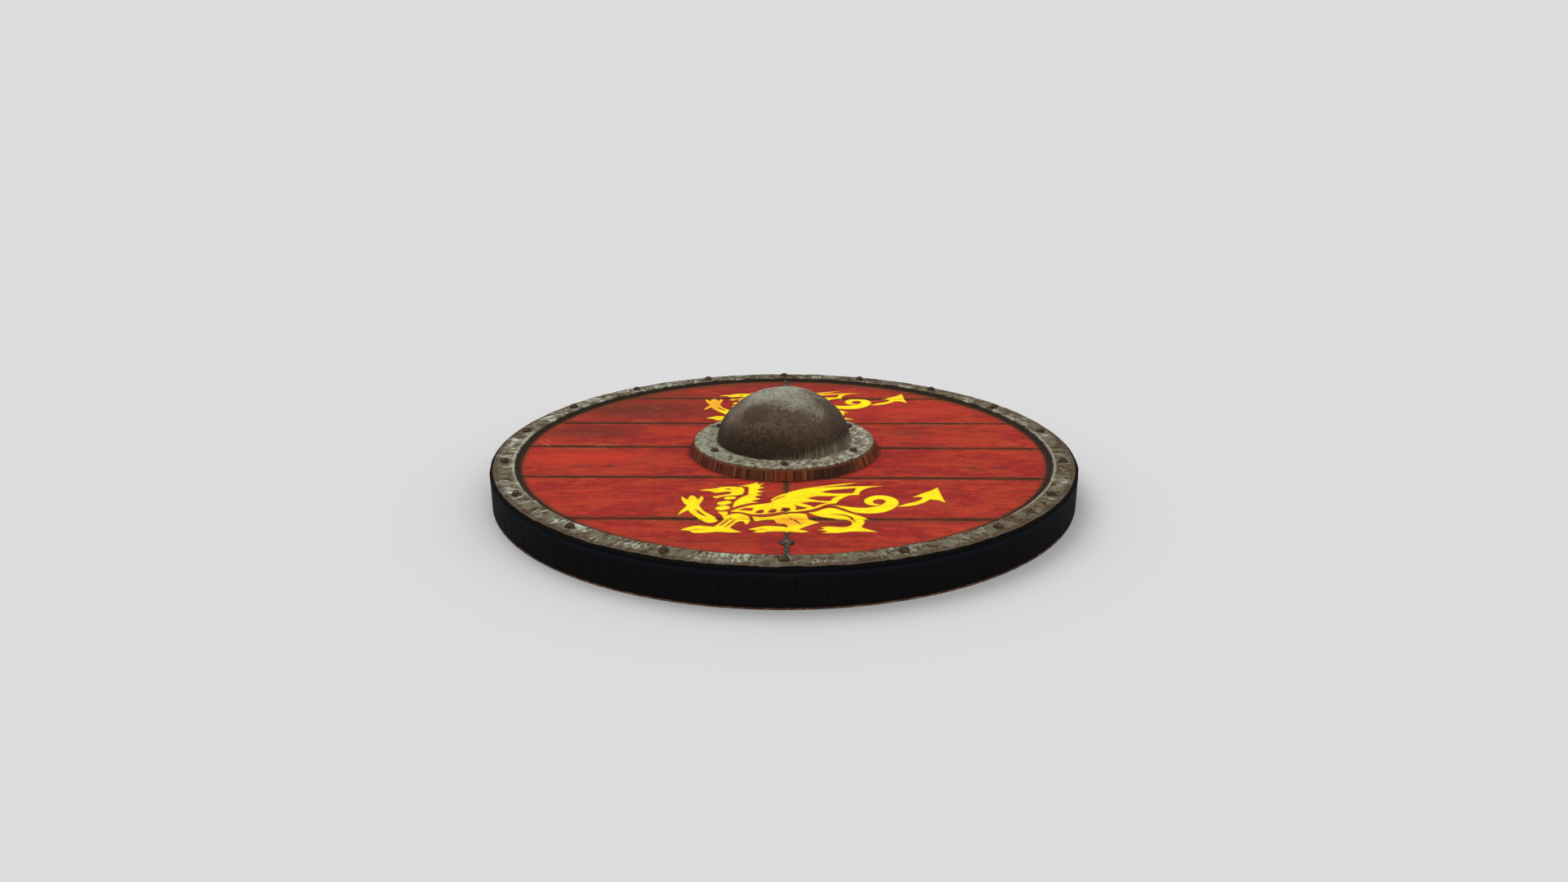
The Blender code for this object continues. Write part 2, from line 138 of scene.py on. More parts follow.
def smooth_run(points: np.ndarray, steps: int) -> np.ndarray:
    """Samples a smooth curve through points.

    Args:
        points: One row for each point.
        steps: Samples from one point to the next.

    Returns:
        The samples, with both ends.
    """
    padded = np.vstack([2 * points[0] - points[1], points, 2 * points[-1] - points[-2]])
    share = np.linspace(0.0, 1.0, steps, endpoint=False)[:, None]
    runs = []
    for before, start, end, after in zip(padded, padded[1:], padded[2:], padded[3:]):
        first = (end - before) * share
        second = (2 * before - 5 * start + 4 * end - after) * share**2
        third = (3 * start - before - 3 * end + after) * share**3
        runs.append(start + 0.5 * (first + second + third))
    return np.vstack([*runs, points[-1:]])


def off_segment(
    x: np.ndarray, y: np.ndarray, start: np.ndarray, end: np.ndarray
) -> tuple[np.ndarray, np.ndarray]:
    """Distance from points to one straight segment.

    Args:
        x: The points' first coordinates.
        y: The points' second coordinates.
        start: The segment's start.
        end: The segment's end.

    Returns:
        The distances, and how far along the segment the nearest places lie, from 0 to 1.
    """
    along = end[:2] - start[:2]
    length = max(float(along @ along), TINY)
    share = np.clip(((x - start[0]) * along[0] + (y - start[1]) * along[1]) / length, 0.0, 1.0)
    gap = np.hypot(x - start[0] - share * along[0], y - start[1] - share * along[1])
    return gap, share


@dataclass(frozen=True)
class Outline:
    """A closed painted area. A point with a third value is a sharp corner.

    Attributes:
        points: The outline in millimetres.
        steps: Samples from one point to the next.
    """

    points: tuple[Point, ...]
    steps: int = 4

    def ring(self) -> np.ndarray:
        """Joins the points smoothly between the sharp corners.

        Returns:
            The closed outline as short straight runs.
        """
        first = next(i for i, point in enumerate(self.points) if len(point) > 2)
        turned = self.points[first:] + self.points[: first + 1]
        flat = np.array([point[:2] for point in turned], float)
        stops = [i for i, point in enumerate(turned) if len(point) > 2]
        pairs = zip(stops, stops[1:])
        return np.vstack([smooth_run(flat[a : b + 1], self.steps)[:-1] for a, b in pairs])

    def distance(self, x: np.ndarray, y: np.ndarray) -> np.ndarray:
        """Distance to the outline, below zero inside it.

        Args:
            x: The points' first coordinates, in millimetres.
            y: The points' second coordinates, in millimetres.

        Returns:
            The distances in millimetres.
        """
        ring = self.ring()
        nearest = np.full(x.shape, np.inf)
        inside = np.zeros(x.shape, bool)
        for start, end in zip(ring, np.roll(ring, -1, axis=0)):
            nearest = np.minimum(nearest, off_segment(x, y, start, end)[0])
            rise = end[1] - start[1]
            if rise:
                meets = (end[0] - start[0]) * (y - start[1]) / rise + start[0]
                inside ^= ((start[1] > y) != (end[1] > y)) & (x < meets)
        return np.where(inside, -nearest, nearest)


@dataclass(frozen=True)
class Stroke:
    """A brush stroke through points of (x, y, half width).

    Attributes:
        points: The stroke in millimetres.
        steps: Samples from one point to the next.
    """

    points: tuple[Point, ...]
    steps: int = 5

    def distance(self, x: np.ndarray, y: np.ndarray) -> np.ndarray:
        """Distance to the stroke's edge, below zero inside it.

        Args:
            x: The points' first coordinates, in millimetres.
            y: The points' second coordinates, in millimetres.

        Returns:
            The distances in millimetres.
        """
        line = smooth_run(np.array(self.points, float), self.steps)
        nearest = np.full(x.shape, np.inf)
        for start, end in zip(line, line[1:]):
            gap, share = off_segment(x, y, start, end)
            nearest = np.minimum(nearest, gap - start[2] - share * (end[2] - start[2]))
        return nearest


# Heraldic dragon that walks to the left, its feet at zero height
DRAGON_PAINT = (
    # Raised forepaw: four toes, palm and arm
    Stroke(((-127, 115, 0.4), (-123, 104, 3.2), (-117, 91, 4.6))),
    Stroke(((-115, 118, 0.8), (-113, 108, 5.4), (-111, 90, 7.0))),
    Stroke(((-103, 117, 0.5), (-102, 108, 2.6), (-106, 91, 4.2))),
    Stroke(((-126, 54, 0.4), (-121, 66, 3.0), (-115, 77, 5.0))),
    Stroke(((-111, 92, 7.8), (-110, 80, 8.4), (-103, 62, 8.4), (-92, 47, 9.0), (-86, 38, 8.4))),
    # Plates of the neck
    Stroke(((-69, 109, 5.4), (-64, 110, 4.8))),
    Stroke(((-76, 91, 6.0), (-70, 94, 6.0))),
    Stroke(((-76, 75, 7.0), (-72, 77, 7.0))),
    Outline(((-80, 64, 1), (-68, 65, 1), (-67, 56), (-72, 49, 1), (-75, 55))),
    # Head
    Outline((
        (-108, 135, 1), (-98, 140), (-88, 142), (-80, 147), (-67, 149), (-53, 147, 1), (-50, 138),
        (-51, 124), (-57, 118), (-68, 117), (-77, 113), (-84, 107, 1), (-89, 114, 1), (-80, 118),
        (-71, 122), (-66, 126), (-69, 131), (-77, 129), (-86, 127), (-92, 132), (-100, 134),
    )),
    # Mane
    Outline((
        (-33, 166, 1), (-45, 157), (-58, 151, 1), (-49, 149), (-45, 144), (-45, 120, 1), (-54, 110),
        (-61, 94), (-62, 76, 1), (-56, 82), (-44, 90), (-30, 95, 1), (-39, 99), (-28, 106, 1),
        (-36, 113), (-27, 120, 1), (-34, 125), (-25, 131, 1), (-33, 137), (-24, 147, 1), (-31, 150),
        (-24, 162, 1), (-33, 158),
    )),
    # Back and wing
    Outline((
        (-65, 64, 1), (-54, 76), (-38, 86), (-20, 92), (-15, 97), (-17, 102, 1), (-9, 115), (4, 128),
        (20, 139), (42, 149), (68, 158), (98, 165, 1), (74, 154), (40, 145, 1), (70, 149),
        (100, 151), (131, 152, 1), (112, 147), (101, 139), (95, 128), (94, 119, 1), (82, 118),
        (72, 108), (67, 99), (64, 91, 1), (52, 87), (42, 78), (31, 70), (14, 64), (-4, 63),
        (-20, 57), (-38, 56), (-50, 62),
    )),
    # Foreleg and its foot
    Outline((
        (-73, 49, 1), (-66, 54), (-58, 60), (-48, 57), (-41, 47), (-40, 34), (-44, 24, 1), (-48, 34),
        (-54, 33), (-60, 22), (-64, 10, 1), (-82, 17, 1), (-75, 30), (-71, 40),
    )),
    Outline((
        (-120, 9, 1), (-110, 18), (-99, 22), (-84, 19), (-66, 18), (-58, 10), (-48, 3, 1), (-60, 1),
        (-76, 3), (-92, 0), (-104, 0, 1), (-109, 6),
    )),
    # Belly and middle leg
    Outline((
        (-38, 50, 1), (-25, 47), (-10, 51), (4, 58), (18, 59), (27, 57, 1), (28, 46), (33, 37),
        (42, 31, 1), (32, 24), (24, 17), (17, 10, 1), (4, 12, 1), (3, 25), (-8, 29), (-12, 39),
        (-20, 40), (-34, 34, 1),
    )),
    Outline((
        (-42, 10, 1), (-33, 16), (-20, 21), (-4, 19), (6, 18), (16, 11), (29, 4, 1), (20, 1),
        (4, 4), (-14, 4), (-26, 1), (-36, 2, 1), (-32, 7),
    )),
    # Rear leg
    Outline((
        (28, 62, 1), (38, 65), (47, 73), (56, 77), (66, 72), (78, 61), (92, 50), (103, 36, 1),
        (94, 41, 1), (94, 30), (90, 17), (98, 10), (109, 3, 1), (94, 4), (78, 4), (62, 0),
        (42, 0, 1), (49, 5), (38, 8, 1), (46, 12), (42, 17, 1), (54, 19), (68, 17), (77, 22),
        (79, 32), (72, 40), (56, 44), (41, 50),
    )),
    # Coiled tail, its end and the arrow head
    Stroke((
        (57, 85, 0.6), (68, 80, 3.4), (84, 71, 7.6), (101, 68, 9.6), (118, 74, 10.0), (130, 88, 8.8),
        (132, 101, 7.8), (125, 110, 7.0), (114, 111, 6.4), (105, 103, 5.8), (104, 93, 5.2),
        (110, 87, 3.4), (116, 88, 0.8),
    )),
    Stroke(((139, 81, 1.0), (150, 86, 4.0), (162, 92, 4.6), (172, 101, 4.6), (178, 112, 5.0))),
    Outline((
        (195, 147, 1), (184, 134), (172, 124), (158, 111, 1), (168, 112), (176, 106), (184, 103),
        (190, 101), (198, 92, 1), (196, 116),
    )),
)
DRAGON_GAPS = (
    # Arm and eye
    Stroke(((-107, 72, 0.5), (-100, 60, 1.6), (-92, 49, 0.6))),
    Stroke(((-74, 140, 0.8), (-70, 140, 1.5), (-67, 138, 0.5))),
    # Sinews of the foreleg
    Stroke(((-62, 46, 0.4), (-67, 36, 1.1), (-74, 22, 0.9))),
    Stroke(((-57, 42, 0.4), (-61, 32, 1.1), (-68, 19, 0.8))),
    # Line under the wing and the tail's root
    Stroke((
        (-64, 58, 0.5), (-52, 60, 1.2), (-40, 52, 1.5), (-24, 51, 1.7), (-8, 56, 1.5), (6, 60, 1.5),
        (22, 61, 1.4), (36, 67, 1.5), (48, 78, 1.4), (58, 83, 1.2), (68, 76, 1.4), (80, 64, 1.4),
        (92, 56, 0.8),
    )),
    # Openings between the ribs
    Outline(((-55, 70, 1), (-46, 76), (-37, 76, 1), (-39, 67), (-46, 68))),
    Outline(((-35, 62, 1), (-29, 70), (-24, 70, 1), (-25, 61), (-30, 59))),
    Outline(((-20, 62, 1), (-15, 72), (-10, 73, 1), (-9, 65), (-14, 61))),
    Outline(((-5, 66, 1), (-1, 77), (5, 78, 1), (8, 70), (2, 65))),
    Outline(((13, 86, 1), (20, 81), (29, 77, 1), (21, 72), (14, 71), (15, 78))),
    # Openings between the wing's fingers
    Outline(((20, 93, 1), (34, 96), (53, 93, 1), (43, 86), (36, 79, 1), (29, 86))),
    Outline(((29, 108, 1), (40, 115), (66, 116, 1), (60, 108), (57, 99, 1), (42, 101))),
    Outline(((46, 129, 1), (60, 137), (91, 144, 1), (89, 134), (86, 126, 1), (64, 125))),
    Stroke(((-14, 100, 0.3), (-6, 110, 0.9), (2, 118, 0.4))),
    # Muscles of the thighs
    Stroke(((6, 46, 0.5), (13, 37, 1.6), (20, 24, 0.6))),
    Stroke(((57, 57, 0.4), (70, 54, 1.3), (79, 46, 1.5), (83, 31, 0.5))),
    # Toes
    Stroke(((-108, 9, 0.3), (-100, 11, 0.8), (-94, 9, 0.3))),
    Stroke(((-32, 8, 0.3), (-26, 10, 0.7), (-20, 9, 0.3))),
)


@dataclass
class Stencil:
    """A painted figure, and the distance to its edge all over the boards.

    Attributes:
        paint: The painted areas.
        gaps: What stays bare inside them.
        feet: Heights along Y at which the figure is painted, in metres.
        low: Lower left corner of the figure with its margin, in millimetres.
        high: Upper right corner, in millimetres.
        pitch: Millimetres between two samples of the distance.
        far: Distance in millimetres beyond which nothing is told apart.
        samples: The distance in millimetres at every pitch.
    """

    paint: tuple[Outline | Stroke, ...]
    gaps: tuple[Outline | Stroke, ...]
    feet: tuple[float, ...] = (-0.298, 0.136)
    low: tuple[int, int] = (-136, -8)
    high: tuple[int, int] = (206, 174)
    pitch: float = 1.0
    far: float = 6.0
    samples: np.ndarray = field(init=False)

    def __post_init__(self) -> None:
        """Samples the distance once for every copy of the figure."""
        across = np.arange(self.low[0], self.high[0] + self.pitch, self.pitch, float)
        up = np.arange(self.low[1], self.high[1] + self.pitch, self.pitch, float)
        x, y = np.meshgrid(across, up)
        distance = np.full(x.shape, self.far)
        for area in self.paint:
            distance = np.minimum(distance, area.distance(x, y))
        for gap in self.gaps:
            distance = np.maximum(distance, -gap.distance(x, y))
        self.samples = distance

    def distance(self, points: np.ndarray) -> np.ndarray:
        """Distance to the nearest painted edge, below zero in the paint.

        Args:
            points: Places on the boards in metres, one row each.

        Returns:
            The distances in metres.
        """
        nearest = np.full(len(points), self.far)
        rows, columns = self.samples.shape
        for foot in self.feet:
            across = (points[:, 0] / MM - self.low[0]) / self.pitch
            up = ((points[:, 1] - foot) / MM - self.low[1]) / self.pitch
            on = (across >= 0) & (across < columns - 1) & (up >= 0) & (up < rows - 1)
            column, row = across[on].astype(int), up[on].astype(int)
            right, above = across[on] - column, up[on] - row
            lower, upper = (
                self.samples[line, column] * (1 - right) + self.samples[line, column + 1] * right
                for line in (row, row + 1)
            )
            nearest[on] = lower * (1 - above) + upper * above
        return nearest * MM


# Node trees


class Graph:
    """A material under construction, with one method for each kind of node."""

    MIX_SHARE, MIX_FIRST, MIX_SECOND, MIX_RESULT = 0, 6, 7, 2

    def __init__(self, name: str) -> None:
        """Starts a material.

        Args:
            name: The material's name.
        """
        self.material = bpy.data.materials.new(name)
        self.material.use_nodes = True
        self.tree = self.material.node_tree
        self.shader = self.tree.nodes["Principled BSDF"]
        self.place = self.node("ShaderNodeTexCoord").outputs["Object"]

    def node(
        self, kind: str, inputs: dict[str | int, Value] | None = None, **settings: str
    ) -> bpy.types.Node:
        """Adds a node.

        Args:
            kind: The node's type.
            inputs: What each input is set or linked to.
            settings: The node's own options.

        Returns:
            The node.
        """
        made = self.tree.nodes.new(kind)
        for option, setting in settings.items():
            setattr(made, option, setting)
        for key, value in (inputs or {}).items():
            self.feed(made.inputs[key], value)
        return made

    def feed(self, entry: Socket, value: Value) -> None:
        """Links an input to a socket, or sets it to a plain value.

        Args:
            entry: The input.
            value: The socket or the value.
        """
        if isinstance(value, bpy.types.NodeSocket):
            self.tree.links.new(value, entry)
        else:
            entry.default_value = value

    def attribute(self, name: str) -> Socket:
        """A value that the mesh stores at its vertices."""
        return self.node("ShaderNodeAttribute", attribute_name=name).outputs["Fac"]

    def math(self, operation: str, *values: Value) -> Socket:
        """The result of a Math node."""
        return self.node("ShaderNodeMath", dict(enumerate(values)), operation=operation).outputs[0]

    def vector_math(self, operation: str, *values: Socket | Point) -> bpy.types.Node:
        """A Vector Math node."""
        return self.node("ShaderNodeVectorMath", dict(enumerate(values)), operation=operation)

    def scaled(self, vector: Socket, scale: Point) -> Socket:
        """The vector, scaled along each axis."""
        return self.vector_math("MULTIPLY", vector, scale).outputs[0]

    @cached_property
    def axes(self) -> tuple[Socket, Socket, Socket]:
        """The place along X, along Y and above the ground."""
        return tuple(self.node("ShaderNodeSeparateXYZ", {0: self.place}).outputs)

    @cached_property
    def radius(self) -> Socket:
        """Distance from the shield's axis."""
        return self.vector_math("LENGTH", self.scaled(self.place, (1, 1, 0))).outputs["Value"]

    def distance(self, point: Point) -> Socket:
        """Distance from a point."""
        return self.vector_math("DISTANCE", self.place, point).outputs["Value"]

    def noise(
        self,
        scale: float | Point = 1.0,
        detail: float = 3.0,
        roughness: float = 0.5,
        distortion: float = 0.0,
        place: Socket | None = None,
    ) -> Socket:
        """Smooth noise from about 0.2 to 0.8.

        Args:
            scale: Waves in a metre, the same all ways or along X, Y and Z.
            detail: Layers of finer waves.
            roughness: Strength of the finer waves.
            distortion: How far the waves swirl.
            place: Where to read it, or nothing for the place itself.

        Returns:
            The noise.
        """
        where = self.place if place is None else place
        if isinstance(scale, tuple):
            where, scale = self.scaled(where, scale), 1.0
        keys = ("Vector", "Scale", "Detail", "Roughness", "Distortion")
        inputs = dict(zip(keys, (where, scale, detail, roughness, distortion)))
        return self.node("ShaderNodeTexNoise", inputs).outputs[0]

    def ring_noise(
        self, scale: Point, detail: float, roughness: float, swirl: float = 0.0
    ) -> Socket:
        """Noise that follows a ring without a break.

        Args:
            scale: Scales of the coordinates, as for ring_place.
            detail: Layers of finer waves.
            roughness: Strength of the finer waves.
            swirl: How far the waves swirl.

        Returns:
            The noise.
        """
        return self.noise(1.0, detail, roughness, swirl, self.ring_place(scale))

    def ring_place(self, scale: Point) -> Socket:
        """Coordinates that follow a ring without a break.

        Args:
            scale: Scales of the unit direction away from the axis, of the radius and of the height.

        Returns:
            The coordinates.
        """
        arc, radial, upright = scale
        away = self.vector_math("NORMALIZE", self.scaled(self.place, (1, 1, 0))).outputs[0]
        height = self.math("MULTIPLY", self.axes[2], upright)
        third = self.math("MULTIPLY_ADD", self.radius, radial, height)
        lifted = self.node("ShaderNodeCombineXYZ", {2: third}).outputs[0]
        return self.vector_math("ADD", self.scaled(away, (arc, arc, 0)), lifted).outputs[0]

    def step(
        self, value: Value, start: Value, end: Value, low: Value = 0.0, high: Value = 1.0
    ) -> Socket:
        """A soft step.

        Args:
            value: What is looked at.
            start: Where the step starts. It may be above the end.
            end: Where the step ends.
            low: The result at the start.
            high: The result at the end.

        Returns:
            The result.
        """
        inputs = dict(enumerate((value, start, end, low, high)))
        return self.node("ShaderNodeMapRange", inputs, interpolation_type="SMOOTHSTEP").outputs[0]

    def mix(self, share: Value, first: Paint, second: Paint) -> Socket:
        """A mix of two colours, by how much of the second shows."""
        inputs = {self.MIX_SHARE: share, self.MIX_FIRST: first, self.MIX_SECOND: second}
        return self.node("ShaderNodeMix", inputs, data_type="RGBA").outputs[self.MIX_RESULT]

    def coats(self, colour: Paint, *rows: tuple[Paint, Value, Value, Value, Value]) -> Socket:
        """Lays colours over another, each where a value passes a soft step.

        Args:
            colour: The colour below.
            rows: For each coat: its colour, what is looked at, where the coat starts, where it is
                full, and how much of it shows there.

        Returns:
            The colour.
        """
        for above, value, start, end, most in rows:
            colour = self.mix(self.step(value, start, end, 0.0, most), colour, above)
        return colour

    def total(self, *values: Value) -> Socket:
        """The sum of several values."""
        return reduce(partial(self.math, "ADD"), values)

    def product(self, *values: Value) -> Socket:
        """The product of several values."""
        return reduce(partial(self.math, "MULTIPLY"), values)

    def weighed(self, *parts: tuple[Socket, float]) -> Socket:
        """The sum of several values, each times its weight."""
        return self.total(*(self.product(value, weight) for value, weight in parts))

    def swayed(self, value: Value, *waves: tuple[Socket, float]) -> Socket:
        """A value that noises shift to either side, each by its width."""
        shifts = (self.product(self.math("SUBTRACT", wave, 0.5), width) for wave, width in waves)
        return self.total(value, *shifts)

    def finish(
        self,
        colour: Socket,
        roughness: Value,
        height: Socket,
        metallic: Value = 0.0,
        specular: float = 0.35,
    ) -> bpy.types.Material:
        """Wires up the shader.

        Args:
            colour: The surface's colour.
            roughness: Its roughness.
            height: Its fine relief in metres.
            metallic: How far it is metal.
            specular: Strength of the gloss on what isn't metal.

        Returns:
            The material.
        """
        bump = self.node("ShaderNodeBump", {"Strength": 1.0, "Distance": 1.0, "Height": height})
        inputs = {
            "Base Color": colour,
            "Roughness": roughness,
            "Metallic": metallic,
            "Normal": bump.outputs[0],
            "Specular IOR Level": specular,
        }
        for key, value in inputs.items():
            self.feed(self.shader.inputs[key], value)
        return self.material


@dataclass(frozen=True)
class BareWood:
    """Plain wood that has darkened with age.

    Attributes:
        name: The material's name.
        pale: Its lighter growth.
        dark: Its darker growth.
        along: Scales of the grain's coordinates along X, Y and Z.
        ring: Whether the grain follows the shield's round.
        deep: Its darkest fibres.
        ring_scale: Scales of the grain that follows the round.
    """

    name: str
    pale: Colour = tone(150, 114, 80)
    dark: Colour = tone(100, 70, 47)
    along: Point = (7.0, 300.0, 300.0)
    ring: bool = False
    deep: Colour = tone(66, 46, 32)
    ring_scale: Point = (4.0, 260.0, 260.0)

    def colours(self, graph: Graph) -> tuple[Socket, Socket]:
        """Adds the grain to a node tree.

        Args:
            graph: The tree.

        Returns:
            The colour, and the grain from 0 to 1.
        """
        if self.ring:
            where = graph.ring_place(self.ring_scale)
        else:
            where = graph.scaled(graph.place, self.along)
        grain = graph.noise(1.0, 5.0, 0.62, 0.35, where)
        colour = graph.coats(
            self.dark,
            (self.pale, grain, 0.36, 0.64, 1.0),
            (self.dark, graph.noise(2.7, 3.0, 0.6, place=where), 0.48, 0.64, 0.55),
            (self.deep, graph.noise(4.3, 3.0, 0.6, place=where), 0.56, 0.7, 0.45),
            (self.dark, graph.noise(9.0, 2.0), 0.48, 0.66, 0.5),
        )
        return colour, grain

    def material(self) -> bpy.types.Material:
        """Builds the material.

        Returns:
            The finished material.
        """
        graph = Graph(self.name)
        colour, grain = self.colours(graph)
        roughness = graph.step(grain, 0.3, 0.7, 0.62, 0.78)
        return graph.finish(colour, roughness, graph.product(grain, 0.25 * MM))


@dataclass(frozen=True)
class RedPaint:
    """Worn red paint over grained boards, with the yellow dragons.

    Attributes:
        face: Height of the painted face.
        toe: Radius at which the iron band starts.
        seat: Radius of the seat's foot.
        red: The paint.
        bright: Where it is fresh.
        crimson: Where it is thicker.
        deep: The paint in the grain.
        brown: Where it is thin and dirty.
        umber: The grime beside a seam and in the pores, and painted shade along the band's inner
            edge.
        crack: The grime in a seam.
        gap: The grime in a seam at the back.
        tan: Wood that shows beside a seam.
        corner_shade_and_lip_black: Painted shade in the corners by the band and round the seat.
        pale: Wood rubbed bare.
        yellow: The dragons.
        amber: Their mottling.
        orange: The dragons where their paint is thin.
        fringe: The dark line round them.
    """

    face: float
    toe: float
    seat: float
    red: Colour = tone(178, 62, 45)
    bright: Colour = tone(208, 66, 44)
    crimson: Colour = tone(152, 42, 44)
    deep: Colour = tone(128, 44, 37)
    brown: Colour = tone(94, 52, 40)
    umber: Colour = tone(100, 62, 42)
    crack: Colour = tone(78, 50, 36)
    gap: Colour = tone(44, 30, 21)
    tan: Colour = tone(172, 96, 66)
    corner_shade_and_lip_black: Colour = tone(50, 34, 26)
    pale: Colour = tone(188, 112, 78)
    yellow: Colour = tone(255, 240, 30)
    amber: Colour = tone(252, 208, 38)
    orange: Colour = tone(250, 176, 48)
    fringe: Colour = tone(120, 66, 26)

    def worn_red(self, graph: Graph, grain: Socket, fibre: Socket) -> Socket:
        """The red paint with its stains, before the seams.

        Args:
            graph: The tree.
            grain: Broad grain.
            fibre: Fine grain.

        Returns:
            The colour.
        """
        patch = graph.noise((17.0, 34.0, 10.0), 5.0, 0.66)
        mottle = graph.noise((48.0, 100.0, 90.0), 4.0, 0.7)
        nap = graph.noise((180.0, 420.0, 200.0), 3.0, 0.65)
        pore = graph.noise((120.0, 330.0, 120.0), 2.0)
        colour = graph.coats(
            self.red,
            (self.crimson, patch, 0.44, 0.56, 0.9),
            (self.bright, graph.swayed(graph.attribute("bright"), (patch, 0.9)), 0.1, 1.0, 0.8),
            (self.bright, mottle, 0.47, 0.36, 0.55),
            (self.deep, grain, 0.5, 0.38, 0.4),
            (self.deep, fibre, 0.5, 0.64, 0.32),
            (self.brown, mottle, 0.53, 0.68, 0.42),
            (self.deep, nap, 0.5, 0.66, 0.26),
            (self.bright, nap, 0.48, 0.36, 0.2),
        )
        stain = graph.product(graph.attribute("stain"), graph.step(mottle, 0.3, 0.7, 1.2, 0.65))
        colour = graph.mix(stain, colour, self.brown)
        colour = graph.coats(colour, (self.umber, pore, 0.62, 0.72, 0.4))
        rubbed = graph.product(graph.step(fibre, 0.58, 0.68), graph.step(patch, 0.48, 0.38), 0.4)
        return graph.mix(rubbed, colour, self.pale)

    def dirt_and_shade(self, graph: Graph, colour: Socket, mottle: Socket, fibre: Socket) -> Socket:
        """Lays grime in the seams, and painted shade along the band and round the seat, over the
        paint.

        Args:
            graph: The tree.
            colour: The paint.
            mottle: Noise of a few millimetres.
            fibre: Fine grain.

        Returns:
            The colour.
        """
        gap = graph.attribute("seam")
        seam = graph.swayed(gap, (mottle, 11 * MM), (fibre, 7 * MM))
        fade = graph.noise((9.0, 14.0, 1.0), 2.0)
        strength = graph.step(fade, 0.36, 0.6, 0.6, 1.0)
        bare = graph.noise((28.0, 170.0, 30.0), 4.0, 0.66)
        lifted = graph.product(
            graph.step(gap, 16 * MM, 5 * MM),
            graph.step(bare, 0.5, 0.62),
            graph.step(fade, 0.46, 0.58),
            0.55,
        )
        # Painted shade along the band's inner edge, reaching further towards the back of the shield.
        streak = graph.step(graph.ring_noise((110.0, 6.0, 0.0), 3.0, 0.6), 0.3, 0.7, 0.7, 1.35)
        reach = graph.product(graph.step(graph.axes[1], 0.1, 0.34, 8 * MM, 28 * MM), streak)
        start = graph.math("SUBTRACT", self.toe, reach)
        radius = graph.swayed(graph.radius, (mottle, 4 * MM))
        colour = graph.coats(
            graph.mix(lifted, colour, self.tan),
            (self.umber, seam, 9.5 * MM, 4 * MM, graph.product(strength, 0.65)),
            (self.crack, seam, 6 * MM, 2.4 * MM, graph.product(strength, 0.92)),
            # The next three coats are painted shade along the band's inner edge and round the seat's
            # foot.
            (self.umber, radius, start, self.toe - 1 * MM, 0.85),
            (self.corner_shade_and_lip_black, radius, self.toe - 4.5 * MM, self.toe, 0.85),
            (self.corner_shade_and_lip_black, radius, self.seat + 8 * MM, self.seat - 1 * MM, 0.55),
        )
        return graph.mix(graph.attribute("mark"), colour, self.pale)

    def dragon(
        self, graph: Graph, colour: Socket, speck: Socket, grain: Socket, fibre: Socket
    ) -> tuple[Socket, Socket]:
        """Lays the dragons over the paint.

        Args:
            graph: The tree.
            colour: The paint with its grime and painted shade.
            speck: Noise of about two millimetres.
            grain: Broad grain.
            fibre: Fine grain.

        Returns:
            The colour, and how far each place is covered by the dragons.
        """
        edge = graph.swayed(graph.attribute("dragon"), (speck, 1.6 * MM))
        thin = graph.swayed(graph.attribute("orange"), (grain, 1.0), (fibre, 0.4))
        yellow = graph.coats(
            self.yellow,
            (self.amber, graph.noise((60.0, 110.0, 60.0), 4.0, 0.68), 0.5, 0.62, 0.7),
            (self.orange, thin, 0.18, 0.85, 1.0),
            (self.orange, edge, -3 * MM, -0.1 * MM, 0.8),
        )
        flake = graph.total(speck, graph.product(fibre, 0.9))
        intact = graph.math("SUBTRACT", 1.0, graph.step(flake, 1.14, 1.24, 0.0, 0.6))
        painted = graph.product(graph.step(edge, 0.45 * MM, -0.45 * MM), intact)
        colour = graph.coats(colour, (self.fringe, edge, 2.4 * MM, 0.2 * MM, 0.75))
        return graph.mix(painted, colour, yellow), painted

    def material(self) -> bpy.types.Material:
        """Builds the material.

        Returns:
            The finished material.
        """
        graph = Graph("red painted boards")
        grain = graph.noise((12.0, 150.0, 60.0), 5.0, 0.62, 0.4)
        fibre = graph.noise((60.0, 640.0, 200.0), 4.0, 0.65)
        speck = graph.noise(520.0, 3.0, 0.6)
        mottle = graph.noise(130.0, 3.0, 0.65)
        colour = self.dirt_and_shade(graph, self.worn_red(graph, grain, fibre), mottle, fibre)
        colour, painted = self.dragon(graph, colour, speck, grain, fibre)
        colour = graph.coats(
            BareWood("back").colours(graph)[0],
            (self.gap, graph.attribute("seam"), 2.2 * MM, 0.4 * MM, 0.8),
            (colour, graph.axes[2], self.face - 5 * MM, self.face - 3 * MM, 1.0),
        )
        relief = graph.weighed(
            (grain, 0.3 * MM), (fibre, 0.22 * MM), (speck, 0.06 * MM), (painted, 0.06 * MM)
        )
        roughness = graph.step(grain, 0.3, 0.7, 0.6, 0.78)
        return graph.finish(colour, roughness, relief, specular=0.01)


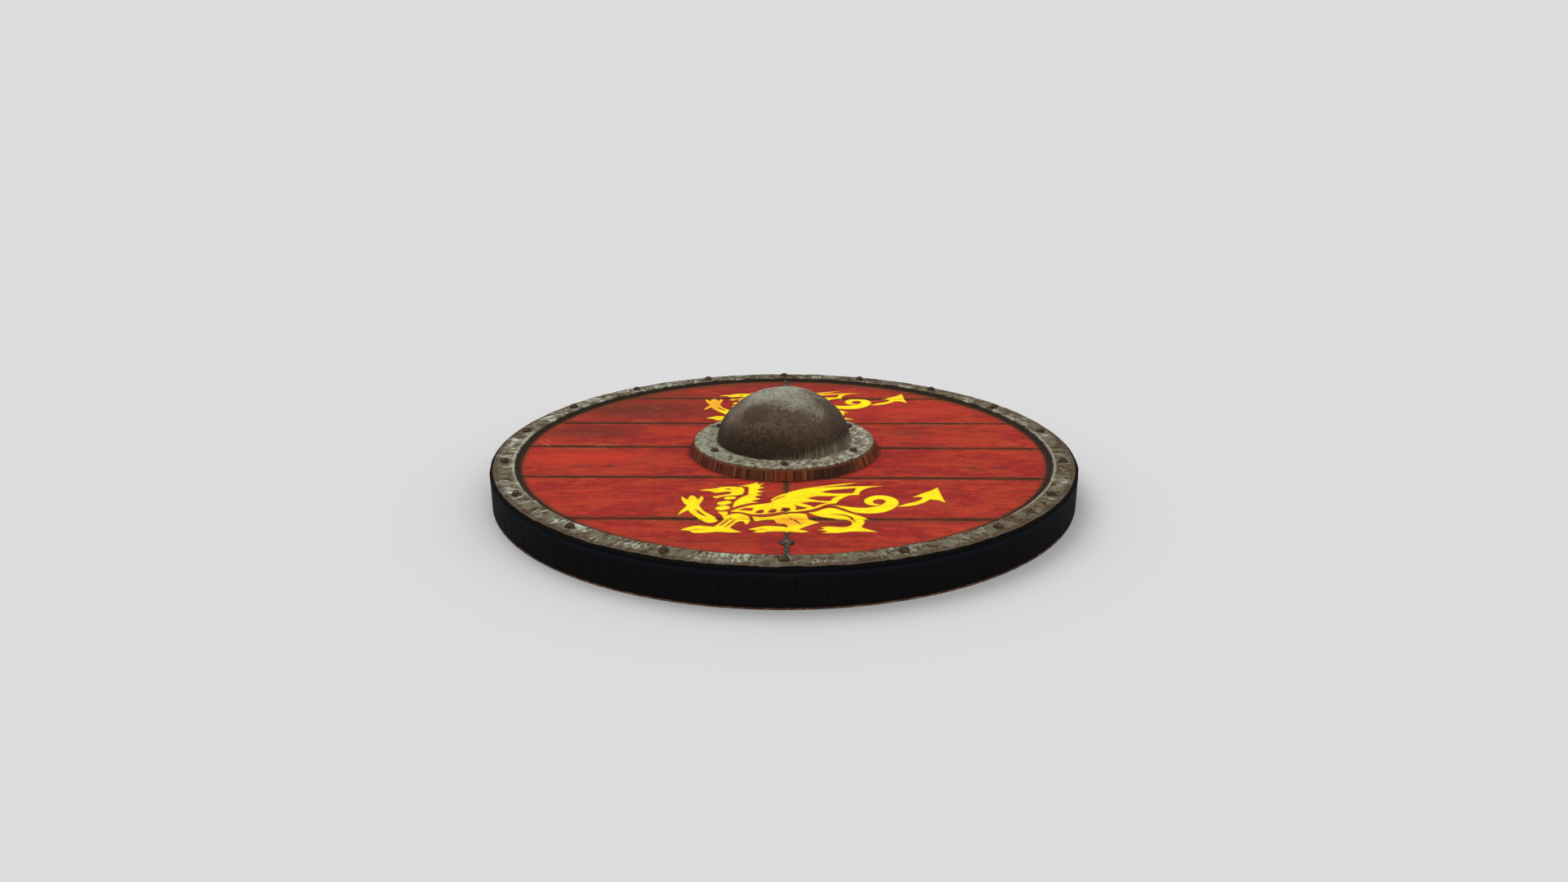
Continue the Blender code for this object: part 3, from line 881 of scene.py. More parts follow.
@dataclass(frozen=True)
class BandIron:
    """Hammered, rusty grey-green iron with painted highlights and painted shade, for the band on the
    shield's front.

    Attributes:
        flat: Radii between which the band lies flat.
        toe: The band's inner radius.
        olive: The dull skin.
        brown: Rust.
        dark: Old corrosion in the hollows.
        ash: Skin rubbed pale.
        bright_metal_and_glint: Bright specks of bare metal, with painted glints.
        rust: Painted shade, a darker brown over the flat's outer part beside the lip.
        crest: A painted highlight along the lip's upper edge.
        corner_shade_and_lip_black: Near-black on the lip.
        shade: Painted shade on the bevel.
        foot: The bevel's foot.
    """

    flat: tuple[float, float]
    toe: float
    olive: Colour = tone(116, 111, 91)
    brown: Colour = tone(100, 81, 63)
    dark: Colour = tone(60, 47, 36)
    ash: Colour = tone(158, 157, 136)
    bright_metal_and_glint: Colour = tone(206, 212, 198)
    rust: Colour = tone(80, 64, 52)
    crest: Colour = tone(112, 94, 72)
    corner_shade_and_lip_black: Colour = tone(13, 13, 13)
    shade: Colour = tone(46, 39, 30)
    foot: Colour = tone(84, 68, 48)

    def rubbed_and_highlit(self, graph: Graph, radius: Socket, pits: Socket) -> Socket:
        """Where the flat's inner edge is rubbed bright and carries a painted highlight, at the left
        and the right front.

        Args:
            graph: The tree.
            radius: Distance from the shield's axis, a little uneven.
            pits: Fine noise.

        Returns:
            The share.
        """
        across, along, _ = graph.axes
        inner = self.flat[0]
        left = graph.product(graph.step(across, -0.28, -0.36), graph.step(along, 0.08, 0.03))
        right = graph.product(graph.step(across, 0.24, 0.32), graph.step(along, 0.1, 0.04))
        line = graph.product(
            graph.step(radius, inner - 0.5 * MM, inner + 1 * MM),
            graph.step(radius, inner + 4 * MM, inner + 2 * MM),
        )
        return graph.product(graph.total(left, right), line, graph.step(pits, 0.4, 0.6), 0.6)

    def material(self) -> bpy.types.Material:
        """Builds the material.

        Returns:
            The finished material.
        """
        graph = Graph("band iron")
        across, along, _ = graph.axes
        inner, outer = self.flat
        broad = graph.noise(20.0, 2.0)
        patch = graph.noise(46.0, 5.0, 0.7)
        blotch = graph.noise(88.0, 4.0, 0.62)
        pits = graph.noise(480.0, 3.0, 0.65)
        brush = graph.ring_noise((105.0, 85.0, 85.0), 3.0, 0.6, 0.5)
        skin = graph.weighed((blotch, 0.6), (brush, 0.2), (pits, 0.2))
        skew = graph.total(across, graph.product(along, 0.2))
        to_left = graph.step(skew, 0.1, -0.2, 0.0, 0.02)
        pale = graph.weighed((brush, 0.3), (broad, 0.25), (patch, 0.45), (pits, 0.1))
        pale = graph.total(pale, to_left)
        bright = graph.total(pale, graph.product(blotch, 0.2))
        radius = graph.swayed(graph.radius, (blotch, 3 * MM))
        colour = graph.coats(
            self.brown,
            (self.olive, skin, 0.47, 0.54, 1.0),
            (self.dark, skin, 0.48, 0.42, 0.85),
            (self.ash, pale, 0.545, 0.655, 0.85),
            # Bright specks of bare metal, with painted glints.
            (self.bright_metal_and_glint, bright, 0.69, 0.79, 0.85),
            (self.dark, pits, 0.52, 0.66, 0.65),
        )
        colour = graph.coats(
            # Rubbed metal with a painted highlight along the flat's inner edge.
            graph.mix(self.rubbed_and_highlit(graph, radius, pits), colour, self.bright_metal_and_glint),
            # Painted shade: the flat darkens towards the lip.
            (self.rust, radius, outer - 7.5 * MM, outer - 1.5 * MM, 0.65),
            # Painted highlight along the lip's crest.
            (self.crest, radius, outer - 1 * MM, outer + 1 * MM, 0.35),
            (self.corner_shade_and_lip_black, radius, outer + 1.2 * MM, outer + 2.2 * MM, 1.0),
            (self.shade, radius, inner + 0.5 * MM, inner - 1.5 * MM, 0.98),
            (self.foot, radius, self.toe + 2.6 * MM, self.toe + 0.5 * MM, 0.6),
        )
        on_flat = graph.step(graph.radius, inner - 2 * MM, inner + 1 * MM)
        combed = graph.product(brush, on_flat)
        relief = graph.weighed((pits, 0.25 * MM), (combed, 0.4 * MM), (blotch, 0.55 * MM))
        roughness = graph.step(bright, 0.6, 0.85, 0.78, 0.6)
        metal = graph.step(radius, outer + 2 * MM, outer, 0.0, 0.2)
        return graph.finish(colour, roughness, relief, metal, specular=0.02)


class RubAndHighlight(NamedTuple):
    """A rubbed spot on the dome, painted lighter as a highlight.

    Attributes:
        x: Its place along X.
        y: Its place along Y.
        drop: How far it lies below the crown.
        near: How far it reaches in full.
        far: How far it reaches at all.
        share: How much of it shows.
    """

    x: float
    y: float
    drop: float
    near: float
    far: float
    share: float


@dataclass(frozen=True)
class BossIron:
    """Dark hammered iron, rubbed grey on the crown and the flange, with painted highlights and
    painted shade.

    Attributes:
        RUBS_AND_HIGHLIGHTS: Rubbed spots on the dome that are also painted highlights.
        SCAR: Place along X and Y and drop from the crown of a dark scar.
        flange: Height of the flange's top.
        crown: Height of the crown.
        dome: Radius of the dome's foot.
        brown: The skin.
        umber: The skin in its hollows, and painted shade on the flange round the dome's foot.
        dome_shade: Painted shade low on the dome, reaching higher at the left, and on its right
            side.
        grey: Rubbed metal with a painted highlight on the crown.
        plate: The flange.
        pit: Its pits.
        moss: Greenish metal at the left.
        light: Bright metal, a painted highlight where the flange is lit at the right front.
        scuff_and_highlight: Scuffs at the dome's foot, partly a painted highlight.
        gleam: Bright scuffs there, painted as a highlight.
    """

    RUBS_AND_HIGHLIGHTS: ClassVar[tuple[RubAndHighlight, ...]] = (
        RubAndHighlight(-0.016, 0.000, 0.000, 0.010, 0.048, 0.5),
        RubAndHighlight(-0.040, -0.020, 0.010, 0.006, 0.030, 0.4),
        RubAndHighlight(-0.066, -0.026, 0.030, 0.004, 0.028, 0.35),
        RubAndHighlight(0.036, -0.042, 0.016, 0.004, 0.018, 0.45),
    )
    SCAR: ClassVar[Point] = (-0.042, -0.048, 0.024)

    flange: float
    crown: float
    dome: float
    brown: Colour = tone(118, 97, 79)
    umber: Colour = tone(74, 59, 47)
    dome_shade: Colour = tone(48, 38, 29)
    grey: Colour = tone(166, 167, 151)
    plate: Colour = tone(146, 138, 116)
    pit: Colour = tone(78, 66, 50)
    moss: Colour = tone(140, 143, 120)
    light: Colour = tone(206, 202, 184)
    scuff_and_highlight: Colour = tone(132, 120, 104)
    gleam: Colour = tone(196, 190, 174)

    def dome_colour(self, graph: Graph, rough: Socket, blotch: Socket, crinkle: Socket) -> Socket:
        """The dome's colour.

        Args:
            graph: The tree.
            rough: Noise of a few millimetres.
            blotch: Broad noise.
            crinkle: Swirled noise of some millimetres.

        Returns:
            The colour.
        """
        across, along, height = graph.axes
        grit = graph.noise(520.0, 3.0, 0.7)
        rise = graph.total(graph.step(height, self.flange, self.crown), graph.product(across, 1.2))
        top = graph.swayed(height, (blotch, 50 * MM), (rough, 40 * MM), (grit, 20 * MM))
        colour = graph.coats(
            self.umber,
            (self.brown, graph.swayed(rough, (grit, 0.9)), 0.36, 0.64, 1.0),
            # Painted shade low on the dome, reaching higher at the left, and on its right side.
            (self.dome_shade, graph.swayed(rise, (blotch, 0.5), (rough, 0.3)), 0.66, 0.06, 0.9),
            (self.dome_shade, graph.swayed(across, (rough, 0.04)), 0.036, 0.086, 0.6),
            # Rubbed metal with a painted highlight on the crown.
            (self.grey, top, self.crown - 16 * MM, self.crown + 3 * MM, 0.9),
        )
        # Rubbed spots that are also painted highlights, on the crown, the upper left and the right
        # front.
        for x, y, drop, near, far, share in self.RUBS_AND_HIGHLIGHTS:
            spot = graph.distance((x, y, self.crown - drop))
            spot = graph.swayed(spot, (blotch, 0.05), (rough, 0.08), (grit, 0.06))
            colour = graph.coats(colour, (self.grey, spot, far, near, share))
        x, y, drop = self.SCAR
        scar = graph.distance((x, y, self.crown - drop))
        colour = graph.coats(
            colour,
            (self.umber, grit, 0.52, 0.66, 0.6),
            (self.umber, rough, 0.5, 0.66, 0.6),
            (self.umber, crinkle, 0.5, 0.62, 0.5),
            (self.umber, graph.swayed(scar, (blotch, 0.05), (rough, 0.02)), 0.026, 0.012, 0.8),
        )
        # Pale scuffs at the dome's foot on the right front, with a painted highlight on them.
        streak = graph.ring_noise((70.0, 3.0, 10.0), 3.0, 0.66)
        to_right = graph.weighed((across, 0.8), (along, -0.5))
        reach = graph.step(to_right, 0.05, 0.09, self.flange + 5 * MM, self.flange + 20 * MM)
        foot = graph.product(
            graph.step(graph.swayed(height, (streak, -24 * MM)), reach, self.flange + 1 * MM),
            graph.step(to_right, 0.025, 0.075),
        )
        scuffed_and_lit = graph.product(foot, graph.step(streak, 0.4, 0.6, 0.35, 0.85))
        gleaming = graph.product(foot, graph.step(streak, 0.58, 0.68, 0.0, 0.8))
        return graph.mix(gleaming, graph.mix(scuffed_and_lit, colour, self.scuff_and_highlight), self.gleam)

    def plate_colour(self, graph: Graph, rough: Socket, pits: Socket) -> Socket:
        """The flange's colour.

        Args:
            graph: The tree.
            rough: Noise of a few millimetres.
            pits: Fine noise.

        Returns:
            The colour.
        """
        across, along, _ = graph.axes
        spot = graph.noise(120.0, 4.0, 0.66)
        # Painted highlight: the flange is lighter at the right front.
        lit = graph.step(graph.weighed((across, 0.8), (along, -0.6)), -0.06, 0.08, 0.45, 1.0)
        to_left = graph.swayed(across, (spot, 0.08))
        colour = graph.coats(self.plate, (self.moss, to_left, -0.02, -0.09, 0.9))
        clear = graph.product(lit, graph.step(spot, 0.49, 0.6), 0.72)
        dull = graph.product(lit, graph.step(graph.swayed(rough, (pits, 0.3)), 0.5, 0.62), 0.75)
        return graph.coats(
            graph.mix(dull, graph.mix(clear, colour, self.light), self.pit),
            (self.pit, graph.swayed(spot, (pits, 0.5)), 0.47, 0.35, 0.9),
            (self.umber, pits, 0.56, 0.68, 0.4),
            # Painted shade on the flange round the dome's foot.
            (self.umber, graph.radius, self.dome + 4.5 * MM, self.dome + 0.5 * MM, 0.75),
        )

    def material(self) -> bpy.types.Material:
        """Builds the material.

        Returns:
            The finished material.
        """
        graph = Graph("boss iron")
        rough = graph.noise(230.0, 4.0, 0.66, 0.15)
        blotch = graph.noise(26.0, 3.0, 0.6)
        crinkle = graph.noise(150.0, 4.0, 0.62, 0.8)
        pits = graph.noise(560.0, 3.0, 0.6)
        on_plate = graph.product(
            graph.step(graph.radius, self.dome + 1 * MM, self.dome + 2.5 * MM),
            graph.step(graph.axes[2], self.flange + 3 * MM, self.flange + 1.5 * MM),
        )
        dome = self.dome_colour(graph, rough, blotch, crinkle)
        colour = graph.mix(on_plate, dome, self.plate_colour(graph, rough, pits))
        relief = graph.weighed(
            (rough, 0.7 * MM), (crinkle, 1.5 * MM), (pits, 0.16 * MM), (blotch, 0.6 * MM)
        )
        roughness = graph.step(rough, 0.35, 0.65, 0.76, 0.58)
        return graph.finish(colour, roughness, relief, 0.2, 0.06)


@dataclass(frozen=True)
class SmallIron:
    """Forged iron of the small parts.

    Attributes:
        name: The material's name.
        dark: The skin.
        rubbed: Where it is rubbed.
        scale: Waves of its pattern in a metre.
        pit: Its pits.
    """

    name: str
    dark: Colour
    rubbed: Colour
    scale: float
    pit: Colour = tone(36, 28, 22)

    def material(self) -> bpy.types.Material:
        """Builds the material.

        Returns:
            The finished material.
        """
        graph = Graph(self.name)
        blotch = graph.noise(self.scale, 4.0, 0.62, 0.5)
        pits = graph.noise(4 * self.scale, 3.0, 0.6)
        colour = graph.coats(
            self.dark, (self.rubbed, blotch, 0.44, 0.68, 1.0), (self.pit, pits, 0.5, 0.7, 0.5)
        )
        relief = graph.weighed((blotch, 0.25 * MM), (pits, 0.08 * MM))
        return graph.finish(colour, graph.step(blotch, 0.4, 0.7, 0.72, 0.52), relief, 0.25, 0.08)


@dataclass(frozen=True)
class StreakedWood:
    """Stained wood whose grain stands upright round the shield.

    Attributes:
        name: The material's name.
        base: The stain.
        streaks: Colours of the streaks, each with the noise level at which it starts.
        top: Height of the piece's upper edge.
        edge: Colour along that edge.
        edge_width: How far that colour reaches down.
        arc: Scale of the streaks round the shield.
        front: Colour at the very front, or nothing.
        shade: Colour to the right of the front, or nothing.
    """

    name: str
    base: Colour
    streaks: tuple[tuple[float, Colour], ...]
    top: float
    edge: Colour
    edge_width: float
    arc: float
    front: Colour | None = None
    shade: Colour | None = None

    def material(self) -> bpy.types.Material:
        """Builds the material.

        Returns:
            The finished material.
        """
        graph = Graph(self.name)
        across, along, height = graph.axes
        fine = graph.ring_noise((2.6 * self.arc, 8.0, 8.0), 3.0, 0.6)
        colour: Paint = self.base
        for number, (level, streak) in enumerate(self.streaks):
            band = graph.ring_noise((self.arc * (1 + 0.37 * number), 6.0, 6.0), 4.0, 0.66)
            colour = graph.coats(colour, (streak, band, level, level + 0.12, 0.9))
        colour = graph.coats(colour, (self.streaks[0][1], fine, 0.5, 0.7, 0.45))
        if self.front and self.shade:
            off = graph.swayed(graph.math("ABSOLUTE", across), (fine, 0.09))
            here = graph.product(graph.step(off, 0.017, 0.004), graph.step(along, 0.0, -0.1), 0.5)
            colour = graph.mix(here, colour, self.front)
            off = graph.swayed(across, (fine, 0.05))
            here = graph.product(graph.step(off, 0.026, 0.05), graph.step(off, 0.1, 0.074), 0.75)
            colour = graph.mix(here, colour, self.shade)
        start = self.top - self.edge_width
        colour = graph.coats(colour, (self.edge, height, start, self.top - 0.4 * MM, 0.85))
        roughness = graph.step(fine, 0.3, 0.7, 0.6, 0.78)
        return graph.finish(colour, roughness, graph.product(fine, 0.3 * MM), specular=0.02)


# Shapes


class Corner(NamedTuple):
    """A corner of a turned section.

    Attributes:
        radius: Its distance from the axis.
        height: Its height.
        rounding: How far its edge is rounded.
        cell: Facet length along the side that starts here.
    """

    radius: float
    height: float
    rounding: float
    cell: float


class Layer(NamedTuple):
    """One layer of unevenness.

    Attributes:
        depth: How far it stands above or below the form.
        waves: Wave lengths along X, Y and Z, or round, away from and along the axis.
        ring: Whether it follows the shield's round.
    """

    depth: float
    waves: Point
    ring: bool = False


def bevelled(bm: bmesh.types.BMesh, edges: list, width: float, segments: int = 2) -> None:
    """Rounds edges.

    Args:
        bm: The shape.
        edges: Its edges to round.
        width: How far the rounding reaches.
        segments: Facets across it.
    """
    bmesh.ops.bevel(
        bm, geom=edges, offset=width, segments=segments, profile=0.5, affect="EDGES", material=-1
    )


def moved_verts(result: dict) -> list:
    """The vertices in an operator's result."""
    return [item for item in result["geom"] if isinstance(item, bmesh.types.BMVert)]


def hammered(*dents: tuple[float, float]) -> tuple[Layer, ...]:
    """Layers of even dents, each by its depth and its wave length."""
    return tuple(Layer(depth, (wave,) * 3) for depth, wave in dents)


def whole(bm: bmesh.types.BMesh) -> list:
    """Everything that a shape is made of."""
    return bm.verts[:] + bm.edges[:] + bm.faces[:]


def level_edges(bm: bmesh.types.BMesh, height: float, sharper: float = -1.0) -> list:
    """Edges that lie at one height and are sharper than an angle."""
    level = (edge for edge in bm.edges if all(abs(v.co.z - height) < TINY for v in edge.verts))
    return [edge for edge in level if edge.calc_face_angle(0.0) > sharper]


def deepened(bm: bmesh.types.BMesh, depth: float) -> None:
    """Draws a flat shape down into a solid."""
    drawn = bmesh.ops.extrude_face_region(bm, geom=bm.faces[:])
    bmesh.ops.translate(bm, verts=moved_verts(drawn), vec=(0, 0, -depth))


def sliced(bm: bmesh.types.BMesh, places: Iterable[Point], normal: Point) -> None:
    """Cuts a shape by a row of parallel planes, and keeps all of it."""
    for place in places:
        bmesh.ops.bisect_plane(bm, geom=whole(bm), dist=SLACK, plane_co=place, plane_no=normal)


def turned(corners: Iterable[Corner], steps: int) -> bmesh.types.BMesh:
    """Turns a section about the upright axis.

    Args:
        corners: The section. Two corners on the axis aren't joined.
        steps: Facets round the axis, a multiple of eight.

    Returns:
        The turned shape.
    """
    corners = list(corners)
    bm = bmesh.new()
    points = [bm.verts.new((corner.radius, 0.0, corner.height)) for corner in corners]
    sides = [
        (bm.edges.new((start, end)), corner.cell)
        for corner, start, end in zip(corners, points, points[1:] + points[:1])
        if max(start.co.x, end.co.x) > TINY
    ]
    for side, cell in sides:
        cuts = int(side.calc_length() / cell)
        if cuts:
            bmesh.ops.subdivide_edges(bm, edges=[side], cuts=cuts)
    sector = math.pi / 4
    bmesh.ops.spin(
        bm, geom=whole(bm), axis=(0, 0, 1), cent=(0, 0, 0), angle=sector, steps=steps // 8,
        use_merge=False,
    )
    for part in (sector, 2 * sector, 4 * sector):
        copied = bmesh.ops.duplicate(bm, geom=whole(bm))
        matrix = Matrix.Rotation(part, 3, "Z")
        bmesh.ops.rotate(bm, verts=moved_verts(copied), cent=(0, 0, 0), matrix=matrix)
    bmesh.ops.remove_doubles(bm, verts=bm.verts, dist=TINY)
    loops = defaultdict(list)
    for edge in bm.edges:
        start, end = (vert.co for vert in edge.verts)
        if abs(start.z - end.z) < TINY and abs(start.xy.length - end.xy.length) < TINY:
            loops[round(start.xy.length, 5), round(start.z, 5)].append(edge)
    for corner in corners:
        if corner.rounding:
            bevelled(bm, loops[round(corner.radius, 5), round(corner.height, 5)], corner.rounding)
    return bm


def dome_section(
    radius: float, foot: float, rise: float, steps: int, cell: float, taper: float = 1.0
) -> list[Corner]:
    """A dome's section from its crown to its foot.

    Args:
        radius: Radius of the foot.
        foot: Height of the foot.
        rise: Height of the crown above it.
        steps: Facets along the section.
        cell: Facet length along each of its sides.
        taper: 1 is a quarter ellipse, more draws the dome in.

    Returns:
        The corners.
    """
    corners = []
    for step in range(steps + 1):
        angle = math.pi / 2 * (1 - step / steps)
        across = radius * math.cos(angle) if step else 0.0
        corners.append(Corner(across, foot + rise * math.sin(angle) ** taper, 0.0, cell))
    return corners


def roughened(
    bm: bmesh.types.BMesh,
    layers: Iterable[Layer],
    shown: Callable[[Vector], float],
    seed: float = 0.0,
) -> None:
    """Moves a shape's vertices along their normals.

    Args:
        bm: The shape.
        layers: The layers of unevenness.
        shown: How far each place takes part, from 0 to 1.
        seed: Shifts the pattern.
    """
    bm.normal_update()
    shift = Vector((seed, 0.37 * seed, 0.71 * seed))
    moves = []
    for vert in bm.verts:
        share = shown(vert.co)
        rise = 0.0
        radius = vert.co.xy.length
        for depth, waves, ring in layers if share else ():
            where = Vector([part / wave for part, wave in zip(vert.co, waves)])
            if ring and radius > TINY:
                away = Vector((vert.co.x, vert.co.y, 0.0)) / radius
                where = Vector((away.x / waves[0], away.y / waves[0], 0.0))
                where.z = radius / waves[1] + vert.co.z / waves[2]
            rise += depth * noise.noise(where + shift)
        moves.append(vert.normal * (rise * share))
    for vert, move in zip(bm.verts, moves):
        vert.co += move


def cut_round(bm: bmesh.types.BMesh, radius: float, facets: int, keep_inside: bool) -> None:
    """Cuts a flat grid along a circle about the axis, facet by facet.

    Args:
        bm: The grid.
        radius: The circle's radius.
        facets: How many straight cuts make it.
        keep_inside: Whether the inside stays, or else the outside.
    """
    half = math.pi / facets
    reach = radius * math.tan(half) + 4 * MM
    groups = defaultdict(list)
    for face in bm.faces:
        centre = face.calc_center_median()
        if abs(centre.xy.length - radius) < reach:
            groups[round(math.atan2(centre.y, centre.x) / (2 * half)) % facets].append(face)
    for number, faces in groups.items():
        angle = 2 * half * number
        away = Vector((math.cos(angle), math.sin(angle), 0.0))
        alive = [face for face in faces if face.is_valid]
        geom = {item for face in alive for item in (*face.verts, *face.edges, face)}
        bmesh.ops.bisect_plane(
            bm, geom=list(geom), dist=SLACK, plane_co=away * radius, plane_no=away
        )
    doomed = []
    for face in bm.faces:
        centre = face.calc_center_median()
        angle = 2 * half * round(math.atan2(centre.y, centre.x) / (2 * half))
        depth = centre.x * math.cos(angle) + centre.y * math.sin(angle)
        if (depth < radius) != keep_inside:
            doomed.append(face)
    bmesh.ops.delete(bm, geom=doomed, context="FACES")


def placed(name: str, data: bpy.types.ID) -> bpy.types.Object:
    """Puts a new object into the scene.

    Args:
        name: The object's name.
        data: What it shows.

    Returns:
        The object.
    """
    made = bpy.data.objects.new(name, data)
    bpy.context.scene.collection.objects.link(made)
    return made


def piece(
    bm: bmesh.types.BMesh, name: str, material: bpy.types.Material, slot: Slot, *nodes: str
) -> bpy.types.Object:
    """Makes a finished piece that stands for nodes of the frame.

    Args:
        bm: The piece's shape, in place.
        name: The piece's name.
        material: Its material.
        slot: The record's slot that it belongs to. It is not used.
        nodes: The nodes that it stands for.

    Returns:
        The piece.
    """
    bmesh.ops.recalc_face_normals(bm, faces=bm.faces)
    if bm.calc_volume(signed=True) < 0:
        bmesh.ops.reverse_faces(bm, faces=bm.faces)
    mesh = bpy.data.meshes.new(name)
    bm.to_mesh(mesh)
    bm.free()
    mesh.materials.append(material)
    mesh.shade_smooth()
    mesh.set_sharp_from_angle(angle=FACET_ANGLE)
    made = placed(name, mesh)
    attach(made, "root")
    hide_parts(*nodes)
    LOG.info("%s: %d vertices", name, len(mesh.vertices))
    return made


class Mark(NamedTuple):
    """A soft spot on the boards.

    Attributes:
        x: Its centre along X, in millimetres.
        y: Its centre along Y, in millimetres.
        width: Its reach along X.
        depth: Its reach along Y.
        strength: How much it shows, from 0 to 1.
    """

    x: float
    y: float
    width: float
    depth: float
    strength: float


STAINS = (
    Mark(-235, 195, 120, 52, 0.85),
    Mark(-292, 78, 84, 34, 0.75),
    Mark(-190, 272, 90, 24, 0.55),
    Mark(-60, 330, 150, 22, 0.4),
    Mark(185, 74, 32, 18, 0.55),
    Mark(-150, 112, 90, 9, 0.4),
    Mark(-80, -262, 60, 10, 0.45),
    Mark(150, -262, 90, 9, 0.4),
    Mark(60, -268, 30, 12, 0.5),
    Mark(-60, -322, 120, 14, 0.3),
    Mark(-277, -74, 9, 4, 0.9),
    Mark(-262, -72, 5, 6, 0.7),
    Mark(-233, -73, 8, 5, 0.85),
    Mark(238, -78, 9, 4, 0.7),
    Mark(253, -80, 8, 6, 0.95),
    Mark(256, -90, 14, 3, 0.6),
    Mark(286, -80, 9, 4, 0.85),
    Mark(295, -77, 4, 7, 0.7),
    Mark(240, 84, 9, 5, 0.55),
    Mark(262, 62, 7, 4, 0.6),
    Mark(196, 88, 12, 4, 0.5),
)
FRESH = (
    Mark(-275, -38, 105, 34, 0.9),
    Mark(-165, -60, 60, 26, 0.5),
    Mark(-160, 84, 62, 26, 0.6),
    Mark(215, 190, 120, 52, 0.7),
    Mark(230, 40, 60, 20, 0.6),
    Mark(-230, -190, 120, 50, 0.4),
    Mark(200, -60, 70, 24, 0.4),
)
ORANGE_SPOTS = (
    Mark(-108, 226, 26, 52, 0.9),
    Mark(-86, 274, 30, 14, 0.5),
    Mark(92, 290, 52, 20, 0.75),
    Mark(184, 252, 24, 34, 0.4),
    Mark(100, 170, 20, 40, 0.5),
    Mark(8, -262, 28, 20, 0.8),
    Mark(-48, -250, 12, 16, 0.5),
    Mark(-30, -252, 14, 8, 0.5),
    Mark(-10, -290, 36, 10, 0.45),
)
SCRATCHES = (
    Stroke(((-350, 36, 0.3), (-340, 22, 0.9), (-331, 12, 0.2))),
    Stroke(((-344, 44, 0.2), (-336, 32, 0.5), (-330, 26, 0.2))),
    Stroke(((-268, 14, 0.3), (-252, 18, 0.9), (-236, 15, 0.2))),
    Stroke(((-264, 28, 0.2), (-256, 22, 0.5), (-247, 20, 0.2))),
    Stroke(((-96, -138, 0.2), (-60, -168, 0.4), (-40, -196, 0.2))),
    Stroke(((60, -120, 0.2), (100, -128, 0.5), (150, -126, 0.2))),
    Stroke(((180, 118, 0.2), (215, 112, 0.5), (240, 113, 0.2))),
    Stroke(((-232, 140, 0.2), (-215, 136, 0.9), (-200, 133, 0.7), (-182, 134, 0.1))),
    Stroke(((-206, 206, 0.1), (-198, 196, 0.7), (-190, 190, 0.1))),
    Stroke(((316, 30, 0.2), (324, 22, 0.9), (334, 18, 0.2))),
)


def spotted(points: np.ndarray, marks: Iterable[Mark]) -> np.ndarray:
    """How strongly soft spots show at each place.

    Args:
        points: Places in metres, one row each.
        marks: The spots.

    Returns:
        Values from 0 to 1.
    """
    shown = np.zeros(len(points))
    for mark in marks:
        across = (points[:, 0] / MM - mark.x) / mark.width
        along = (points[:, 1] / MM - mark.y) / mark.depth
        shown = np.maximum(shown, mark.strength * np.exp(-(across**2) - along**2))
    return shown


